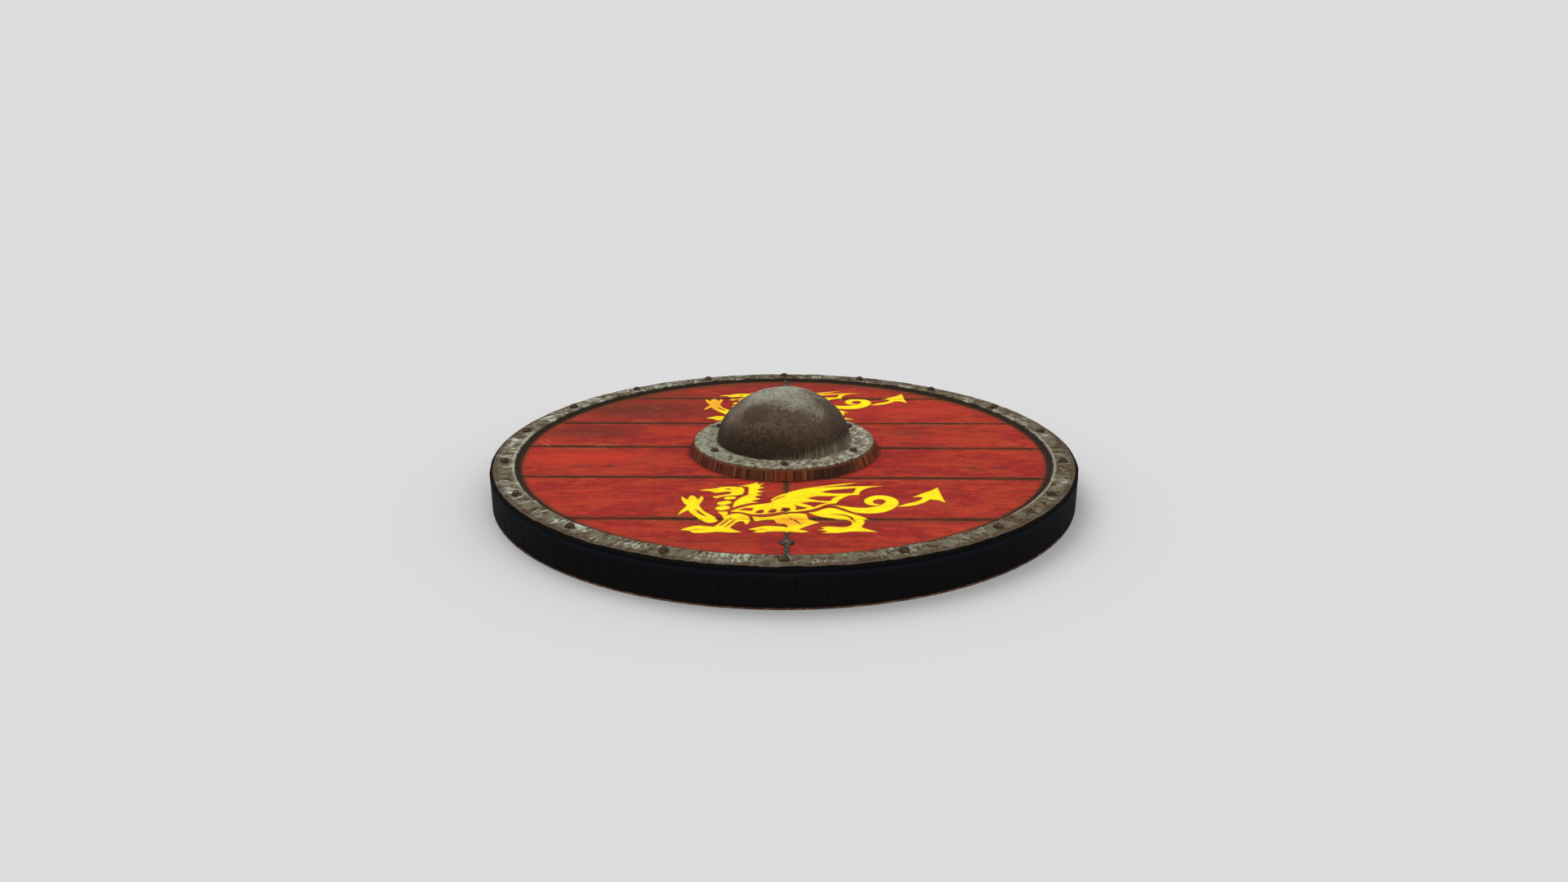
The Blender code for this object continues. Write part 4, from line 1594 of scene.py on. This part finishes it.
@dataclass
class Boards:
    """The painted boards.

    Attributes:
        stencil: The dragon.
        seams: Place along Y and tilt in degrees of each seam, from the back of the shield.
        seam_gap: Space between two boards.
        rounding: How far a board's edge is rounded by wear at a seam.
        edge_rows: Rows of facets over that rounding, as shares of it.
        ragged: How far a seam's edge strays.
        chamfer: Width of the chamfer round a board's back.
        cell: Size of a facet.
        facets: Straight cuts round the disc.
        grain: Height of the broad and of the fine grain.
        score_x: Where the scored line lies along X.
        score_reach: Radii between which it runs.
        score_depth: Its depth.
        score_half: Half its width.
        rounds: Tries at drawing a place in from every edge.
    """

    stencil: Stencil
    seams: tuple[tuple[float, float], ...] = (
        (0.254, -0.43), (0.120, -0.36), (0.006, -1.0), (-0.116, -0.78), (-0.256, -0.57)
    )
    seam_gap: float = 0.6 * MM
    rounding: float = 2.6 * MM
    edge_rows: tuple[float, ...] = (0.0, 0.12, 0.3, 0.58, 1.0)
    ragged: float = 1.5 * MM
    chamfer: float = 0.7 * MM
    cell: float = 1.45 * MM
    facets: int = 120
    grain: tuple[float, float] = (0.28 * MM, 0.16 * MM)
    score_x: float = 3 * MM
    score_reach: tuple[float, float] = (0.129, 0.304)
    score_depth: float = 1.1 * MM
    score_half: float = 2.2 * MM
    rounds: int = 12

    def __post_init__(self) -> None:
        """Measures the frame."""
        self.form = extent("board_3")
        self.hole = self.form.inner

    def sides(self, number: int, x: float) -> tuple[float, float]:
        """Places along Y of a board's front and back side.

        Args:
            number: The board's number from the back of the shield.
            x: Where to look along X.

        Returns:
            The two places.
        """
        half, outer = self.seam_gap / 2, self.form.outer
        found = []
        for index, place, shift in ((number - 1, -outer, half), (number - 2, outer, -half)):
            if 0 <= index < len(self.seams):
                seam, tilt = self.seams[index]
                place = seam + math.tan(math.radians(tilt)) * x + shift
            found.append(place)
        return found[0], found[1]

    def rows(self, width: float) -> list[float]:
        """Shares out the rows of facets over a board.

        Args:
            width: The board's width.

        Returns:
            Shares of that width, with both ends.
        """
        near = [share * self.rounding / width for share in self.edge_rows]
        count = round((1 - 2 * near[-1]) * width / self.cell)
        middle = np.linspace(near[-1], 1 - near[-1], count + 1)[1:-1]
        return [*near, *middle, *(1 - share for share in reversed(near))]

    def shape(self, number: int) -> bmesh.types.BMesh:
        """One board, dense on its painted face.

        Args:
            number: The board's number from the back of the shield.

        Returns:
            The closed shape.
        """
        reach = outer = self.form.outer
        front, back = self.sides(number, 0.0)
        rows = self.rows(back - front)
        if number in (1, len(self.seams) + 1):
            reach = math.sqrt(outer**2 - min(abs(front), abs(back)) ** 2) + 6 * MM
        columns = round(2 * reach / self.cell)
        bm = bmesh.new()
        bmesh.ops.create_grid(bm, x_segments=columns, y_segments=len(rows) - 1, size=1.0)
        for vert in bm.verts:
            x = vert.co.x * reach
            share = rows[round((vert.co.y + 1) / 2 * (len(rows) - 1))]
            low, high = self.sides(number, x)
            vert.co = (x, low + share * (high - low), self.form.high)
        cut_round(bm, outer, self.facets, keep_inside=True)
        if back > -self.hole and front < self.hole:
            cut_round(bm, self.hole, self.facets, keep_inside=False)
        plan = bm.verts.layers.float_vector.new("plan")
        for vert in bm.verts:
            vert[plan] = vert.co
        self.wear(bm, number)
        self.close(bm, number)
        bm.verts.layers.float_vector.remove(plan)
        return bm

    def wear(self, bm: bmesh.types.BMesh, number: int) -> None:
        """Rounds the edges at the seams, raises the grain and cuts the scored line.

        Args:
            bm: The board's face.
            number: The board's number.
        """
        outer, reach = self.form.outer, 2.4 * self.rounding
        for vert in bm.verts:
            x, y, z = vert.co
            low, high = self.sides(number, x)
            gaps = [y - low if low > -outer else 1.0, high - y if high < outer else 1.0]
            gap = min(gaps)
            side = gaps.index(gap)
            lift = self.grain[0] * noise.noise((x * 5, y * 26, number))
            lift += self.grain[1] * noise.noise((x * 16, y * 240, number * 3.7))
            if gap < reach:
                stray = abs(noise.noise((x * 70, number * 5.1 + side, 0.0)))
                stray += 0.6 * abs(noise.noise((x * 230, number * 7.7 + side, 0.0)))
                y += (-1.0 if side else 1.0) * self.ragged * stray * (1 - gap / reach)
            if gap < self.rounding:
                near = min(1.0, 1 - gap / self.rounding)
                lift -= self.rounding * 0.9 * (1 - math.sqrt(1 - near**2))
            off_line = abs(x - self.score_x - 0.5 * MM * noise.noise((0.0, y * 60, 9.0)))
            if off_line < self.score_half and self.score_reach[0] < abs(y) < self.score_reach[1]:
                lift -= self.score_depth * (1 - off_line / self.score_half)
            vert.co = (x, y, z + lift)

    def drawn_in(self, number: int, place: Vector, reach: float) -> tuple[float, float]:
        """Draws a place in from a board's edge.

        Args:
            number: The board's number.
            place: The place.
            reach: How far from the edge it has to lie.

        Returns:
            X and Y of the place drawn in.
        """
        x, y = place.xy
        for _ in range(self.rounds):
            low, high = self.sides(number, x)
            y = min(max(y, low + reach), high - reach)
            radius = math.hypot(x, y)
            wanted = min(max(radius, self.hole + reach), self.form.outer - reach)
            x, y = x * wanted / radius, y * wanted / radius
        return x, y

    def close(self, bm: bmesh.types.BMesh, number: int) -> None:
        """Gives a board's face its sides and its back.

        Args:
            bm: The board's face.
            number: The board's number.
        """
        plan = bm.verts.layers.float_vector["plan"]
        rim = [edge for edge in bm.edges if edge.is_boundary]
        for reach, rise in ((0.0, self.chamfer), (self.chamfer, 0.0), (3 * self.chamfer, 0.0)):
            moved = moved_verts(bmesh.ops.extrude_edge_only(bm, edges=rim))
            for vert in moved:
                vert.co.xy = self.drawn_in(number, vert[plan], reach) if reach else vert[plan].xy
                vert.co.z = self.form.low + rise
            if reach:
                bmesh.ops.remove_doubles(bm, verts=moved, dist=self.chamfer / 2)
            rim = [edge for edge in bm.edges if edge.is_boundary]
        bmesh.ops.contextual_create(bm, geom=rim)

    def dress(self, made: bpy.types.Object) -> None:
        """Stores what the paint needs at a board's vertices.

        Args:
            made: The board.
        """
        mesh = made.data
        points = np.empty(len(mesh.vertices) * 3)
        mesh.vertices.foreach_get("co", points)
        points = points.reshape(-1, 3)
        across, along = points[:, 0], points[:, 1]
        start, end = self.score_reach
        scored = (np.abs(along) > start) & (np.abs(along) < end)
        gaps = [np.where(scored, np.abs(across - self.score_x) + 0.8 * MM, 1.0)]
        for place, tilt in self.seams:
            gaps.append(np.abs(along - place - math.tan(math.radians(tilt)) * across))
        marks = [scratch.distance(across / MM, along / MM) for scratch in SCRATCHES]
        values = {
            "dragon": self.stencil.distance(points),
            "seam": np.minimum.reduce(gaps),
            "stain": spotted(points, STAINS),
            "bright": spotted(points, FRESH),
            "orange": spotted(points, ORANGE_SPOTS),
            "mark": np.clip(0.5 - 0.5 * np.minimum.reduce(marks), 0.0, 0.6),
        }
        for name, numbers in values.items():
            layer = mesh.attributes.new(name, "FLOAT", "POINT")
            layer.data.foreach_set("value", numbers.astype(np.float32))
        LOG.info("%s has its paint", made.name)

    def build(self) -> None:
        """Makes every board."""
        toe = extent("front_band").inner
        seat = extent("boss_seat").outer
        paint = RedPaint(face=self.form.high, toe=toe, seat=seat).material()
        for number in range(1, len(self.seams) + 2):
            name, node = f"plank_{number}", f"board_{number}"
            self.dress(piece(self.shape(number), name, paint, Slot.RED_PAINT, node))


@dataclass
class Rim:
    """The hoop, the ring that carries the boards, and the two iron bands.

    Attributes:
        lip_width: Width of the front band's lip.
        lip_drop: How far it falls.
        bevel_width: Width of the bevel inside its flat.
        sheet: Its thickness.
        inset: How far the hoop stands back from the band's edge.
        steps: Facets round the front band and the hoop.
        back_steps: Facets round the ledge and the back band.
    """

    lip_width: float = 6 * MM
    lip_drop: float = 3.4 * MM
    bevel_width: float = 7 * MM
    sheet: float = 2.6 * MM
    inset: float = 0.2 * MM
    steps: int = 1000
    back_steps: int = 720

    def front_band(self) -> None:
        """The dished and hammered band on the front."""
        form = extent("front_band")
        flat_out = form.outer - self.lip_width
        flat_in = form.inner + self.bevel_width
        under = form.high - self.sheet
        lip = form.high - self.lip_drop
        fine, coarse = 1.9 * MM, 8 * MM
        corners = (
            Corner(form.outer, lip, 0.9 * MM, fine),
            Corner(flat_out, form.high, 1.6 * MM, fine),
            Corner(flat_in, form.high, 1.8 * MM, fine),
            Corner(form.inner, form.low, 0.0, coarse),
            Corner(form.inner + 1.4 * self.sheet, form.low, 0.0, coarse),
            Corner(flat_in + 0.3 * self.sheet, under, 0.0, coarse),
            Corner(flat_out - 0.3 * self.sheet, under, 0.0, coarse),
            Corner(form.outer, lip - 1.15 * self.sheet, 0.9 * MM, 1.4 * MM),
        )
        bm = turned(corners, self.steps)
        skin = 0.4 * self.sheet
        layers = hammered((0.9 * MM, 0.028), (0.5 * MM, 0.010), (0.22 * MM, 0.0042))

        def shown(place: Vector) -> float:
            """All of the upper side and the outer edge take part.

            Args:
                place: A place on the band.

            Returns:
                Its share, from 0 to 1.
            """
            radius = place.xy.length
            if radius > form.outer - 0.5 * MM:
                return 0.8
            share = max(0.0, (radius - form.inner) / self.bevel_width)
            if share > 1:
                return 1.0 if place.z > under + skin else 0.0
            slope = form.low + share * (form.high - form.low)
            return share if place.z > slope - skin else 0.0

        roughened(bm, layers, shown)
        iron = BandIron((flat_in, flat_out), form.inner).material()
        piece(bm, "rim_band", iron, Slot.BAND_IRON, "front_band")

    def hoop(self) -> None:
        """The deep wooden hoop."""
        form = extent("hoop")
        lip = form.high - self.lip_drop
        side = form.outer - self.inset
        cell = 3 * MM
        corners = (
            Corner(form.inner, form.high, 0.0, cell),
            Corner(form.outer - self.lip_width, form.high, 0.0, cell),
            Corner(side, lip, 0.0, 2.6 * MM),
            Corner(side, form.low, 0.8 * MM, cell),
            Corner(form.inner, form.low, 0.8 * MM, cell),
        )
        bm = turned(corners, self.steps)
        layers = (
            Layer(0.3 * MM, (0.012, 0.4, 0.4), True), Layer(0.16 * MM, (0.0052, 0.2, 0.12), True)
        )
        roughened(bm, layers, lambda place: place.z < lip)
        stain = StreakedWood(
            name="black wood",
            base=tone(17, 17, 18),
            streaks=((0.56, tone(11, 11, 12)), (0.64, tone(22, 25, 31))),
            top=lip,
            edge=tone(19, 23, 30),
            edge_width=9 * MM,
            arc=95.0,
        )
        piece(bm, "rim_hoop", stain.material(), Slot.BLACK_WOOD, "hoop")

    def ledge(self) -> None:
        """The ring that the boards lie on."""
        form = extent("ledge_ring")
        corners = (
            Corner(form.inner, form.low, 1.5 * MM, 4 * MM),
            Corner(form.outer, form.low, 0.0, 6 * MM),
            Corner(form.outer, form.high, 0.0, 6 * MM),
            Corner(form.inner, form.high, 1.0 * MM, 4 * MM),
        )
        bm = turned(corners, self.back_steps)
        top = form.high - 1 * MM
        layers = (Layer(0.3 * MM, (0.09, 0.02, 0.02), True),)
        roughened(bm, layers, lambda place: place.z < top)
        wood = BareWood("ledge wood", ring=True).material()
        piece(bm, "board_ledge", wood, Slot.GRIP_WOOD, "ledge_ring")

    def back_band(self) -> None:
        """The thin band that the shield rests on."""
        form = extent("back_band")
        corners = (
            Corner(form.outer, form.low, 0.5 * MM, 1.4 * MM),
            Corner(form.outer, form.high, 0.4 * MM, 3 * MM),
            Corner(form.inner, form.high, 0.4 * MM, 1.4 * MM),
            Corner(form.inner, form.low, 0.5 * MM, 3 * MM),
        )
        bm = turned(corners, self.back_steps)
        layers = hammered((0.25 * MM, 0.02), (0.1 * MM, 0.006))
        roughened(bm, layers, lambda place: place.z > 0.9 * MM)
        iron = SmallIron("back band iron", tone(84, 58, 46), tone(126, 96, 76), 90.0)
        piece(bm, "back_edge_band", iron.material(), Slot.EDGE_IRON, "back_band")

    def build(self) -> None:
        """Makes every piece of the rim."""
        self.front_band()
        self.hoop()
        self.ledge()
        self.back_band()


@dataclass
class BossAssembly:
    """The domed boss and the wooden seat under it.

    Attributes:
        sheet: Thickness of the iron.
        dome_wall: Upright stretch at the dome's foot.
        dome_taper: 1 is a quarter ellipse, more draws the dome in.
        flange_width: Width of the flange.
        seat_margin: How far the seat's top stands out from under the flange.
        rows: Rows of facets over the dome, outside and inside.
        steps: Facets round it.
        seat_steps: Facets round the seat.
    """

    sheet: float = 2.2 * MM
    dome_wall: float = 3 * MM
    dome_taper: float = 1.13
    flange_width: float = 32.5 * MM
    seat_margin: float = 1.7 * MM
    rows: tuple[int, int] = (64, 30)
    steps: int = 440
    seat_steps: int = 640

    def boss(self) -> None:
        """The boss, raised from one sheet."""
        form = extent("boss")
        flange_top = form.low + self.sheet
        dome = form.outer - self.flange_width
        spring = flange_top + self.dome_wall
        hollow, top, cell = dome - self.sheet, form.high - self.sheet, 4 * MM
        taper, (outer_rows, inner_rows) = self.dome_taper, self.rows
        outside = dome_section(dome, spring, form.high - spring, outer_rows, cell, taper)
        outside[-1] = outside[-1]._replace(cell=1.6 * MM)
        corners = (
            *outside,
            Corner(dome, flange_top + 0.2 * MM, 1.2 * MM, 1 * MM),
            Corner(dome + 2 * MM, flange_top, 0.0, 1.7 * MM),
            Corner(form.outer, flange_top, 0.7 * MM, 1.2 * MM),
            Corner(form.outer, form.low, 0.4 * MM, 8 * MM),
            Corner(hollow, form.low, 0.0, cell),
            *reversed(dome_section(hollow, spring, top - spring, inner_rows, cell, taper)),
        )
        bm = turned(corners, self.steps)
        layers = hammered((1.5 * MM, 0.034), (0.7 * MM, 0.013), (0.34 * MM, 0.0048))

        def shown(place: Vector) -> float:
            """The outer side takes part, and the flange less.

            Args:
                place: A place on the boss.

            Returns:
                Its share, from 0 to 1.
            """
            radius = place.xy.length
            if place.z < flange_top + 0.6 * MM:
                return 0.45 if radius > dome and place.z > flange_top - 0.8 * MM else 0.0
            rise = min(1.0, max(0.0, (place.z - spring) / (form.high - spring)))
            outer = dome * math.sqrt(max(0.0, 1 - rise ** (2 / self.dome_taper)))
            return 0.8 if radius > outer - 0.9 * MM or place.z > form.high - 0.6 * MM else 0.0

        roughened(bm, layers, shown)
        iron = BossIron(flange_top, form.high, dome).material()
        piece(bm, "iron_boss", iron, Slot.BOSS_IRON, "boss")

    def seat(self) -> None:
        """The wooden ring under the boss, wider at its foot."""
        form = extent("boss_seat")
        top_radius = extent("boss").outer + self.seat_margin
        corners = (
            Corner(form.inner, form.low, 0.6 * MM, 9 * MM),
            Corner(form.outer, form.low, 0.0, 1.6 * MM),
            Corner(top_radius, form.high, 0.8 * MM, 9 * MM),
            Corner(form.inner, form.high, 0.0, 3 * MM),
        )
        bm = turned(corners, self.seat_steps)
        layers = (
            Layer(0.5 * MM, (0.02, 0.5, 0.5), True), Layer(0.26 * MM, (0.0075, 0.3, 0.3), True)
        )
        side = top_radius - 1.2 * MM
        roughened(bm, layers, lambda place: place.xy.length > side)
        stain = StreakedWood(
            name="seat wood",
            base=tone(104, 54, 39),
            streaks=((0.47, tone(56, 40, 31)), (0.52, tone(146, 86, 52))),
            top=form.high,
            # A painted highlight along the seat's top edge.
            edge=tone(112, 66, 50),
            edge_width=2 * MM,
            arc=21.0,
            front=tone(124, 36, 28),
            shade=tone(48, 38, 30),
        )
        piece(bm, "boss_seat_ring", stain.material(), Slot.SEAT_WOOD, "boss_seat")

    def build(self) -> None:
        """Makes the boss and its seat."""
        self.boss()
        self.seat()


@dataclass(frozen=True)
class RivetForm:
    """Sizes of one kind of rivet.

    Attributes:
        head: Radius of the domed head.
        rise: Height of the head.
        shank: Half the width of the square shank.
        tail: Half the width of the peened tail.
        tail_height: Height of the tail.
    """

    head: float
    rise: float
    shank: float = 2.1 * MM
    tail: float = 4.0 * MM
    tail_height: float = 1.4 * MM


class RivetKind(Enum):
    """The kinds of rivet, by the node names that they start with."""

    RIM = RivetForm(6.2 * MM, 4.8 * MM)
    BOSS = RivetForm(5.4 * MM, 4.0 * MM)
    TONGUE = RivetForm(2.4 * MM, 1.2 * MM, 1.1 * MM, 2.4 * MM)


@dataclass
class Rivets:
    """Forged rivets with domed heads and square peened tails.

    Attributes:
        segments: Facets round a rivet.
        crown_rows: Rows of facets over its head.
        tail_taper: Width of a tail's end against its base.
        seed_step: Shift of the dents from one rivet to the next.
    """

    segments: int = 32
    crown_rows: int = 8
    tail_taper: float = 0.85
    seed_step: float = 11.3

    def shape(self, node: str, form: RivetForm, seed: float) -> bmesh.types.BMesh:
        """One rivet in its place.

        Args:
            node: The node that it stands for.
            form: Its sizes.
            seed: Makes its dents its own.

        Returns:
            The shape.
        """
        low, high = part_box(node)
        middle = Vector(((low.x + high.x) / 2, (low.y + high.y) / 2, 0.0))
        brim = high.z - form.rise
        tail_top = low.z + form.tail_height
        corners = (
            *dome_section(form.head, brim, form.rise, self.crown_rows, form.rise),
            Corner(form.shank, brim, 0.0, 6 * MM),
            Corner(form.shank, tail_top, 0.0, form.rise),
            Corner(form.tail, tail_top, 0.0, form.rise),
            Corner(form.tail * self.tail_taper, low.z, 0.0, form.rise),
            Corner(0.0, low.z, 0.0, form.rise),
        )
        bm = turned(corners, self.segments)
        for vert in bm.verts:
            if vert.co.z < brim - TINY and vert.co.xy.length > TINY:
                across = vert.co.xy.normalized()
                vert.co.xy = vert.co.xy / max(abs(across.x), abs(across.y))
        turn = Matrix.Rotation(math.atan2(middle.y, middle.x), 4, "Z")
        bmesh.ops.transform(bm, matrix=Matrix.Translation(middle) @ turn, verts=bm.verts)
        layers = hammered(
            (0.07 * form.head, 0.8 * form.head), (0.035 * form.head, 0.33 * form.head)
        )
        roughened(bm, layers, lambda place: not tail_top < place.z < brim - TINY, seed)
        return bm

    def build(self) -> None:
        """Makes every rivet that the frame holds."""
        iron = SmallIron("rivet iron", tone(62, 47, 38), tone(104, 86, 70), 300.0).material()
        pale = SmallIron("tongue rivet iron", tone(96, 90, 80), tone(160, 156, 146), 500.0)
        pale = pale.material()
        names = sorted(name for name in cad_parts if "rivet" in name)
        for number, node in enumerate(names):
            kind = RivetKind[node.split("_")[0].upper()]
            bm = self.shape(node, kind.value, self.seed_step * number)
            metal = pale if kind is RivetKind.TONGUE else iron
            piece(bm, f"{node}_forged", metal, Slot.RIVET_IRON, node)


@dataclass
class Fittings:
    """The two tongues on the face and the grip bar behind the boards.

    Attributes:
        centre: Where the tongues lie along X.
        half: Half the width of a tongue.
        finial_half: Half the width of its finial.
        finial_long: Half the length of its finial.
        finial_span: Degrees from the centre line between which the finial is round.
        finial_steps: Facets along each side of the finial.
        tongue_cell: Size of a facet on a tongue.
        grip_rounding: Rounding of the grip bar's long edges.
        grip_waist: Half the width of the grip at its middle.
        grip_end: Half its width at its ends.
        shoulder: How far out the grip's shoulders lie, and how far they reach.
        waist_reach: How far the waist reaches.
        grip_cells: Facets across and along the grip.
    """

    centre: float = 3 * MM
    half: float = 2.8 * MM
    finial_half: float = 8.2 * MM
    finial_long: float = 6.2 * MM
    finial_span: tuple[int, int] = (24, 156)
    finial_steps: int = 8
    tongue_cell: float = 1.5 * MM
    grip_rounding: float = 6 * MM
    grip_waist: float = 14 * MM
    grip_end: float = 13 * MM
    shoulder: tuple[float, float] = (72 * MM, 20 * MM)
    waist_reach: float = 36 * MM
    grip_cells: tuple[int, int] = (14, 240)

    def tongue_outline(self, near: float, tip: float, middle: float) -> list[tuple[float, float]]:
        """Half of a tongue's outline, from the band to its tip.

        Args:
            near: Where it starts, as a distance from the shield's middle.
            tip: Where it ends.
            middle: Where its finial's middle lies.

        Returns:
            Points of (distance from its centre line, distance from the shield's middle).
        """
        start, end = self.finial_span
        finial = []
        for step in range(self.finial_steps + 1):
            angle = math.radians(start + (end - start) * step / self.finial_steps)
            along = middle + self.finial_long * math.cos(angle)
            finial.append((self.finial_half * math.sin(angle), along))
        return [
            (self.half * 1.25, near),
            (self.half * 0.8, (near + middle + self.finial_long) / 2),
            (self.half * 0.9, middle + self.finial_long + 1.5 * MM),
            *finial,
            (self.half * 0.9, middle - self.finial_long - 1.5 * MM),
            (self.half * 0.75, (middle - self.finial_long + tip) / 2),
            (0.0, tip),
        ]

    def tongue(self, label: str, side: int, iron: bpy.types.Material) -> None:
        """One tongue.

        Args:
            label: Whether it is the front or the back one.
            side: -1 at the front, 1 at the back.
            iron: Its material.
        """
        node = f"tongue_{label}"
        low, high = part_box(node)
        tip, near = sorted((abs(low.y), abs(high.y)))
        rivet_low, rivet_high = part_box(f"tongue_rivet_{label}")
        half = self.tongue_outline(near, tip, abs(rivet_low.y + rivet_high.y) / 2)
        outline = half + [(-across, along) for across, along in reversed(half[:-1])]
        places = [(self.centre + across, side * along, high.z) for across, along in outline]
        bm = bmesh.new()
        bm.faces.new([bm.verts.new(place) for place in places])
        deepened(bm, high.z - low.z)
        bevelled(bm, level_edges(bm, high.z), 0.6 * MM)
        cell = self.tongue_cell
        rows = range(1, int((near - tip) / cell))
        sliced(bm, [(0.0, side * (tip + row * cell), 0.0) for row in rows], (0, 1, 0))
        sliced(bm, [(self.centre + column * cell, 0.0, 0.0) for column in range(-4, 5)], (1, 0, 0))
        layers = hammered((0.45 * MM, 0.009), (0.2 * MM, 0.0032))
        roughened(bm, layers, lambda place: place.z > low.z + 0.5 * MM)
        piece(bm, f"{node}_forged", iron, Slot.TONGUE_IRON, node)

    def grip(self) -> None:
        """The grip bar, shaped by hand at its waist."""
        low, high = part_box("grip_bar")
        bm = bmesh.new()
        columns, rows = self.grip_cells
        bmesh.ops.create_grid(bm, x_segments=columns, y_segments=rows, size=1.0)
        for vert in bm.verts:
            along = vert.co.y * high.y
            far = abs(along)
            shoulder = math.exp(-(((far - self.shoulder[0]) / self.shoulder[1]) ** 2))
            waist = math.exp(-((far / self.waist_reach) ** 4))
            half = self.grip_end + (high.x - self.grip_end) * shoulder
            half = half * (1 - waist) + self.grip_waist * waist
            vert.co = (vert.co.x * half, along, high.z)
        deepened(bm, high.z - low.z)
        bevelled(bm, level_edges(bm, low.z, sharper=1.0), self.grip_rounding, 5)
        bevelled(bm, level_edges(bm, high.z, sharper=1.0), 1.0 * MM)
        layers = (Layer(0.6 * MM, (0.05, 0.11, 0.05)), Layer(0.16 * MM, (0.006, 0.12, 0.006)))
        roughened(bm, layers, lambda place: place.z < high.z - 0.5 * MM)
        wood = BareWood("grip wood", tone(136, 96, 62), tone(72, 46, 30), (190.0, 9.0, 190.0))
        piece(bm, "hand_grip_bar", wood.material(), Slot.GRIP_WOOD, "grip_bar")

    def build(self) -> None:
        """Makes the tongues and the grip."""
        iron = SmallIron("tongue iron", tone(50, 46, 40), tone(98, 96, 86), 240.0).material()
        self.tongue("front", -1, iron)
        self.tongue("back", 1, iron)
        self.grip()


class Sun(NamedTuple):
    """A soft distant light.

    Attributes:
        name: Its name.
        energy: Its strength.
        spread: Its apparent width in degrees.
        slope: Its angle from upright in degrees.
        azimuth: Where it stands in degrees, 0 at +X and 90 at +Y.
    """

    name: str
    energy: float
    spread: float
    slope: float
    azimuth: float


@dataclass
class Studio:
    """Pale floor, soft light and the camera.

    Attributes:
        eye: Where the camera stands.
        pitch: How far it looks down, in radians.
        lens: Its focal length in millimetres.
        sensor: Width of its sensor in millimetres.
        backdrop: Brightness of the sky and of the floor.
        suns: The main light, and the light from the right.
        floor_half: Half the width of the floor.
    """

    eye: tuple[float, float, float] = (0.0, -1.41604, 0.52576)
    pitch: float = 0.3199
    lens: float = 24.444
    sensor: float = 36.0
    backdrop: float = 0.723
    suns: tuple[Sun, ...] = (
        Sun("key light", 0.9, 40.0, 32.0, 125.0),
        Sun("fill light", 0.3, 70.0, 50.0, -40.0),
    )
    floor_half: float = 30.0

    def camera(self) -> None:
        """Puts the camera where the photograph was taken."""
        data = bpy.data.cameras.new("camera")
        data.lens = self.lens
        data.sensor_width = self.sensor
        made = placed("camera", data)
        made.location = self.eye
        made.rotation_euler = (math.pi / 2 - self.pitch, 0.0, 0.0)
        bpy.context.scene.camera = made

    def lights(self) -> float:
        """Adds the lights.

        Returns:
            All the light that reaches the floor, over pi.
        """
        world = bpy.data.worlds.new("sky")
        world.use_nodes = True
        background = world.node_tree.nodes["Background"]
        background.inputs["Color"].default_value = (1.0, 1.0, 1.0, 1.0)
        background.inputs["Strength"].default_value = self.backdrop
        bpy.context.scene.world = world
        direct = 0.0
        for name, energy, spread, slope, azimuth in self.suns:
            data = bpy.data.lights.new(name, "SUN")
            data.energy = energy
            data.angle = math.radians(spread)
            made = placed(name, data)
            made.rotation_euler = (math.radians(slope), 0.0, math.radians(azimuth + 90))
            direct += energy * math.cos(math.radians(slope))
        return self.backdrop + direct / math.pi

    def floor(self, light: float) -> None:
        """Lays a floor as bright as the sky behind it.

        Args:
            light: The light that reaches it, over pi.
        """
        bm = bmesh.new()
        bmesh.ops.create_grid(bm, x_segments=1, y_segments=1, size=self.floor_half)
        mesh = bpy.data.meshes.new("floor")
        bm.to_mesh(mesh)
        bm.free()
        graph = Graph("pale floor")
        shade = self.backdrop / light
        inputs = graph.shader.inputs
        inputs["Base Color"].default_value = (shade, shade, shade, 1.0)
        inputs["Roughness"].default_value = 1.0
        inputs["Specular IOR Level"].default_value = 0.0
        mesh.materials.append(graph.material)
        made = placed("floor", mesh)

    def build(self) -> None:
        """Sets the scene round the shield."""
        self.camera()
        self.floor(self.lights())
        bpy.context.scene.view_settings.view_transform = "Standard"


def main() -> None:
    """Builds the studio and every piece of the shield."""
    logging.basicConfig(level=logging.INFO, format="%(message)s")
    Studio().build()
    Boards(Stencil(DRAGON_PAINT, DRAGON_GAPS)).build()
    Rim().build()
    BossAssembly().build()
    Rivets().build()
    Fittings().build()


if __name__ == "__main__":
    main()
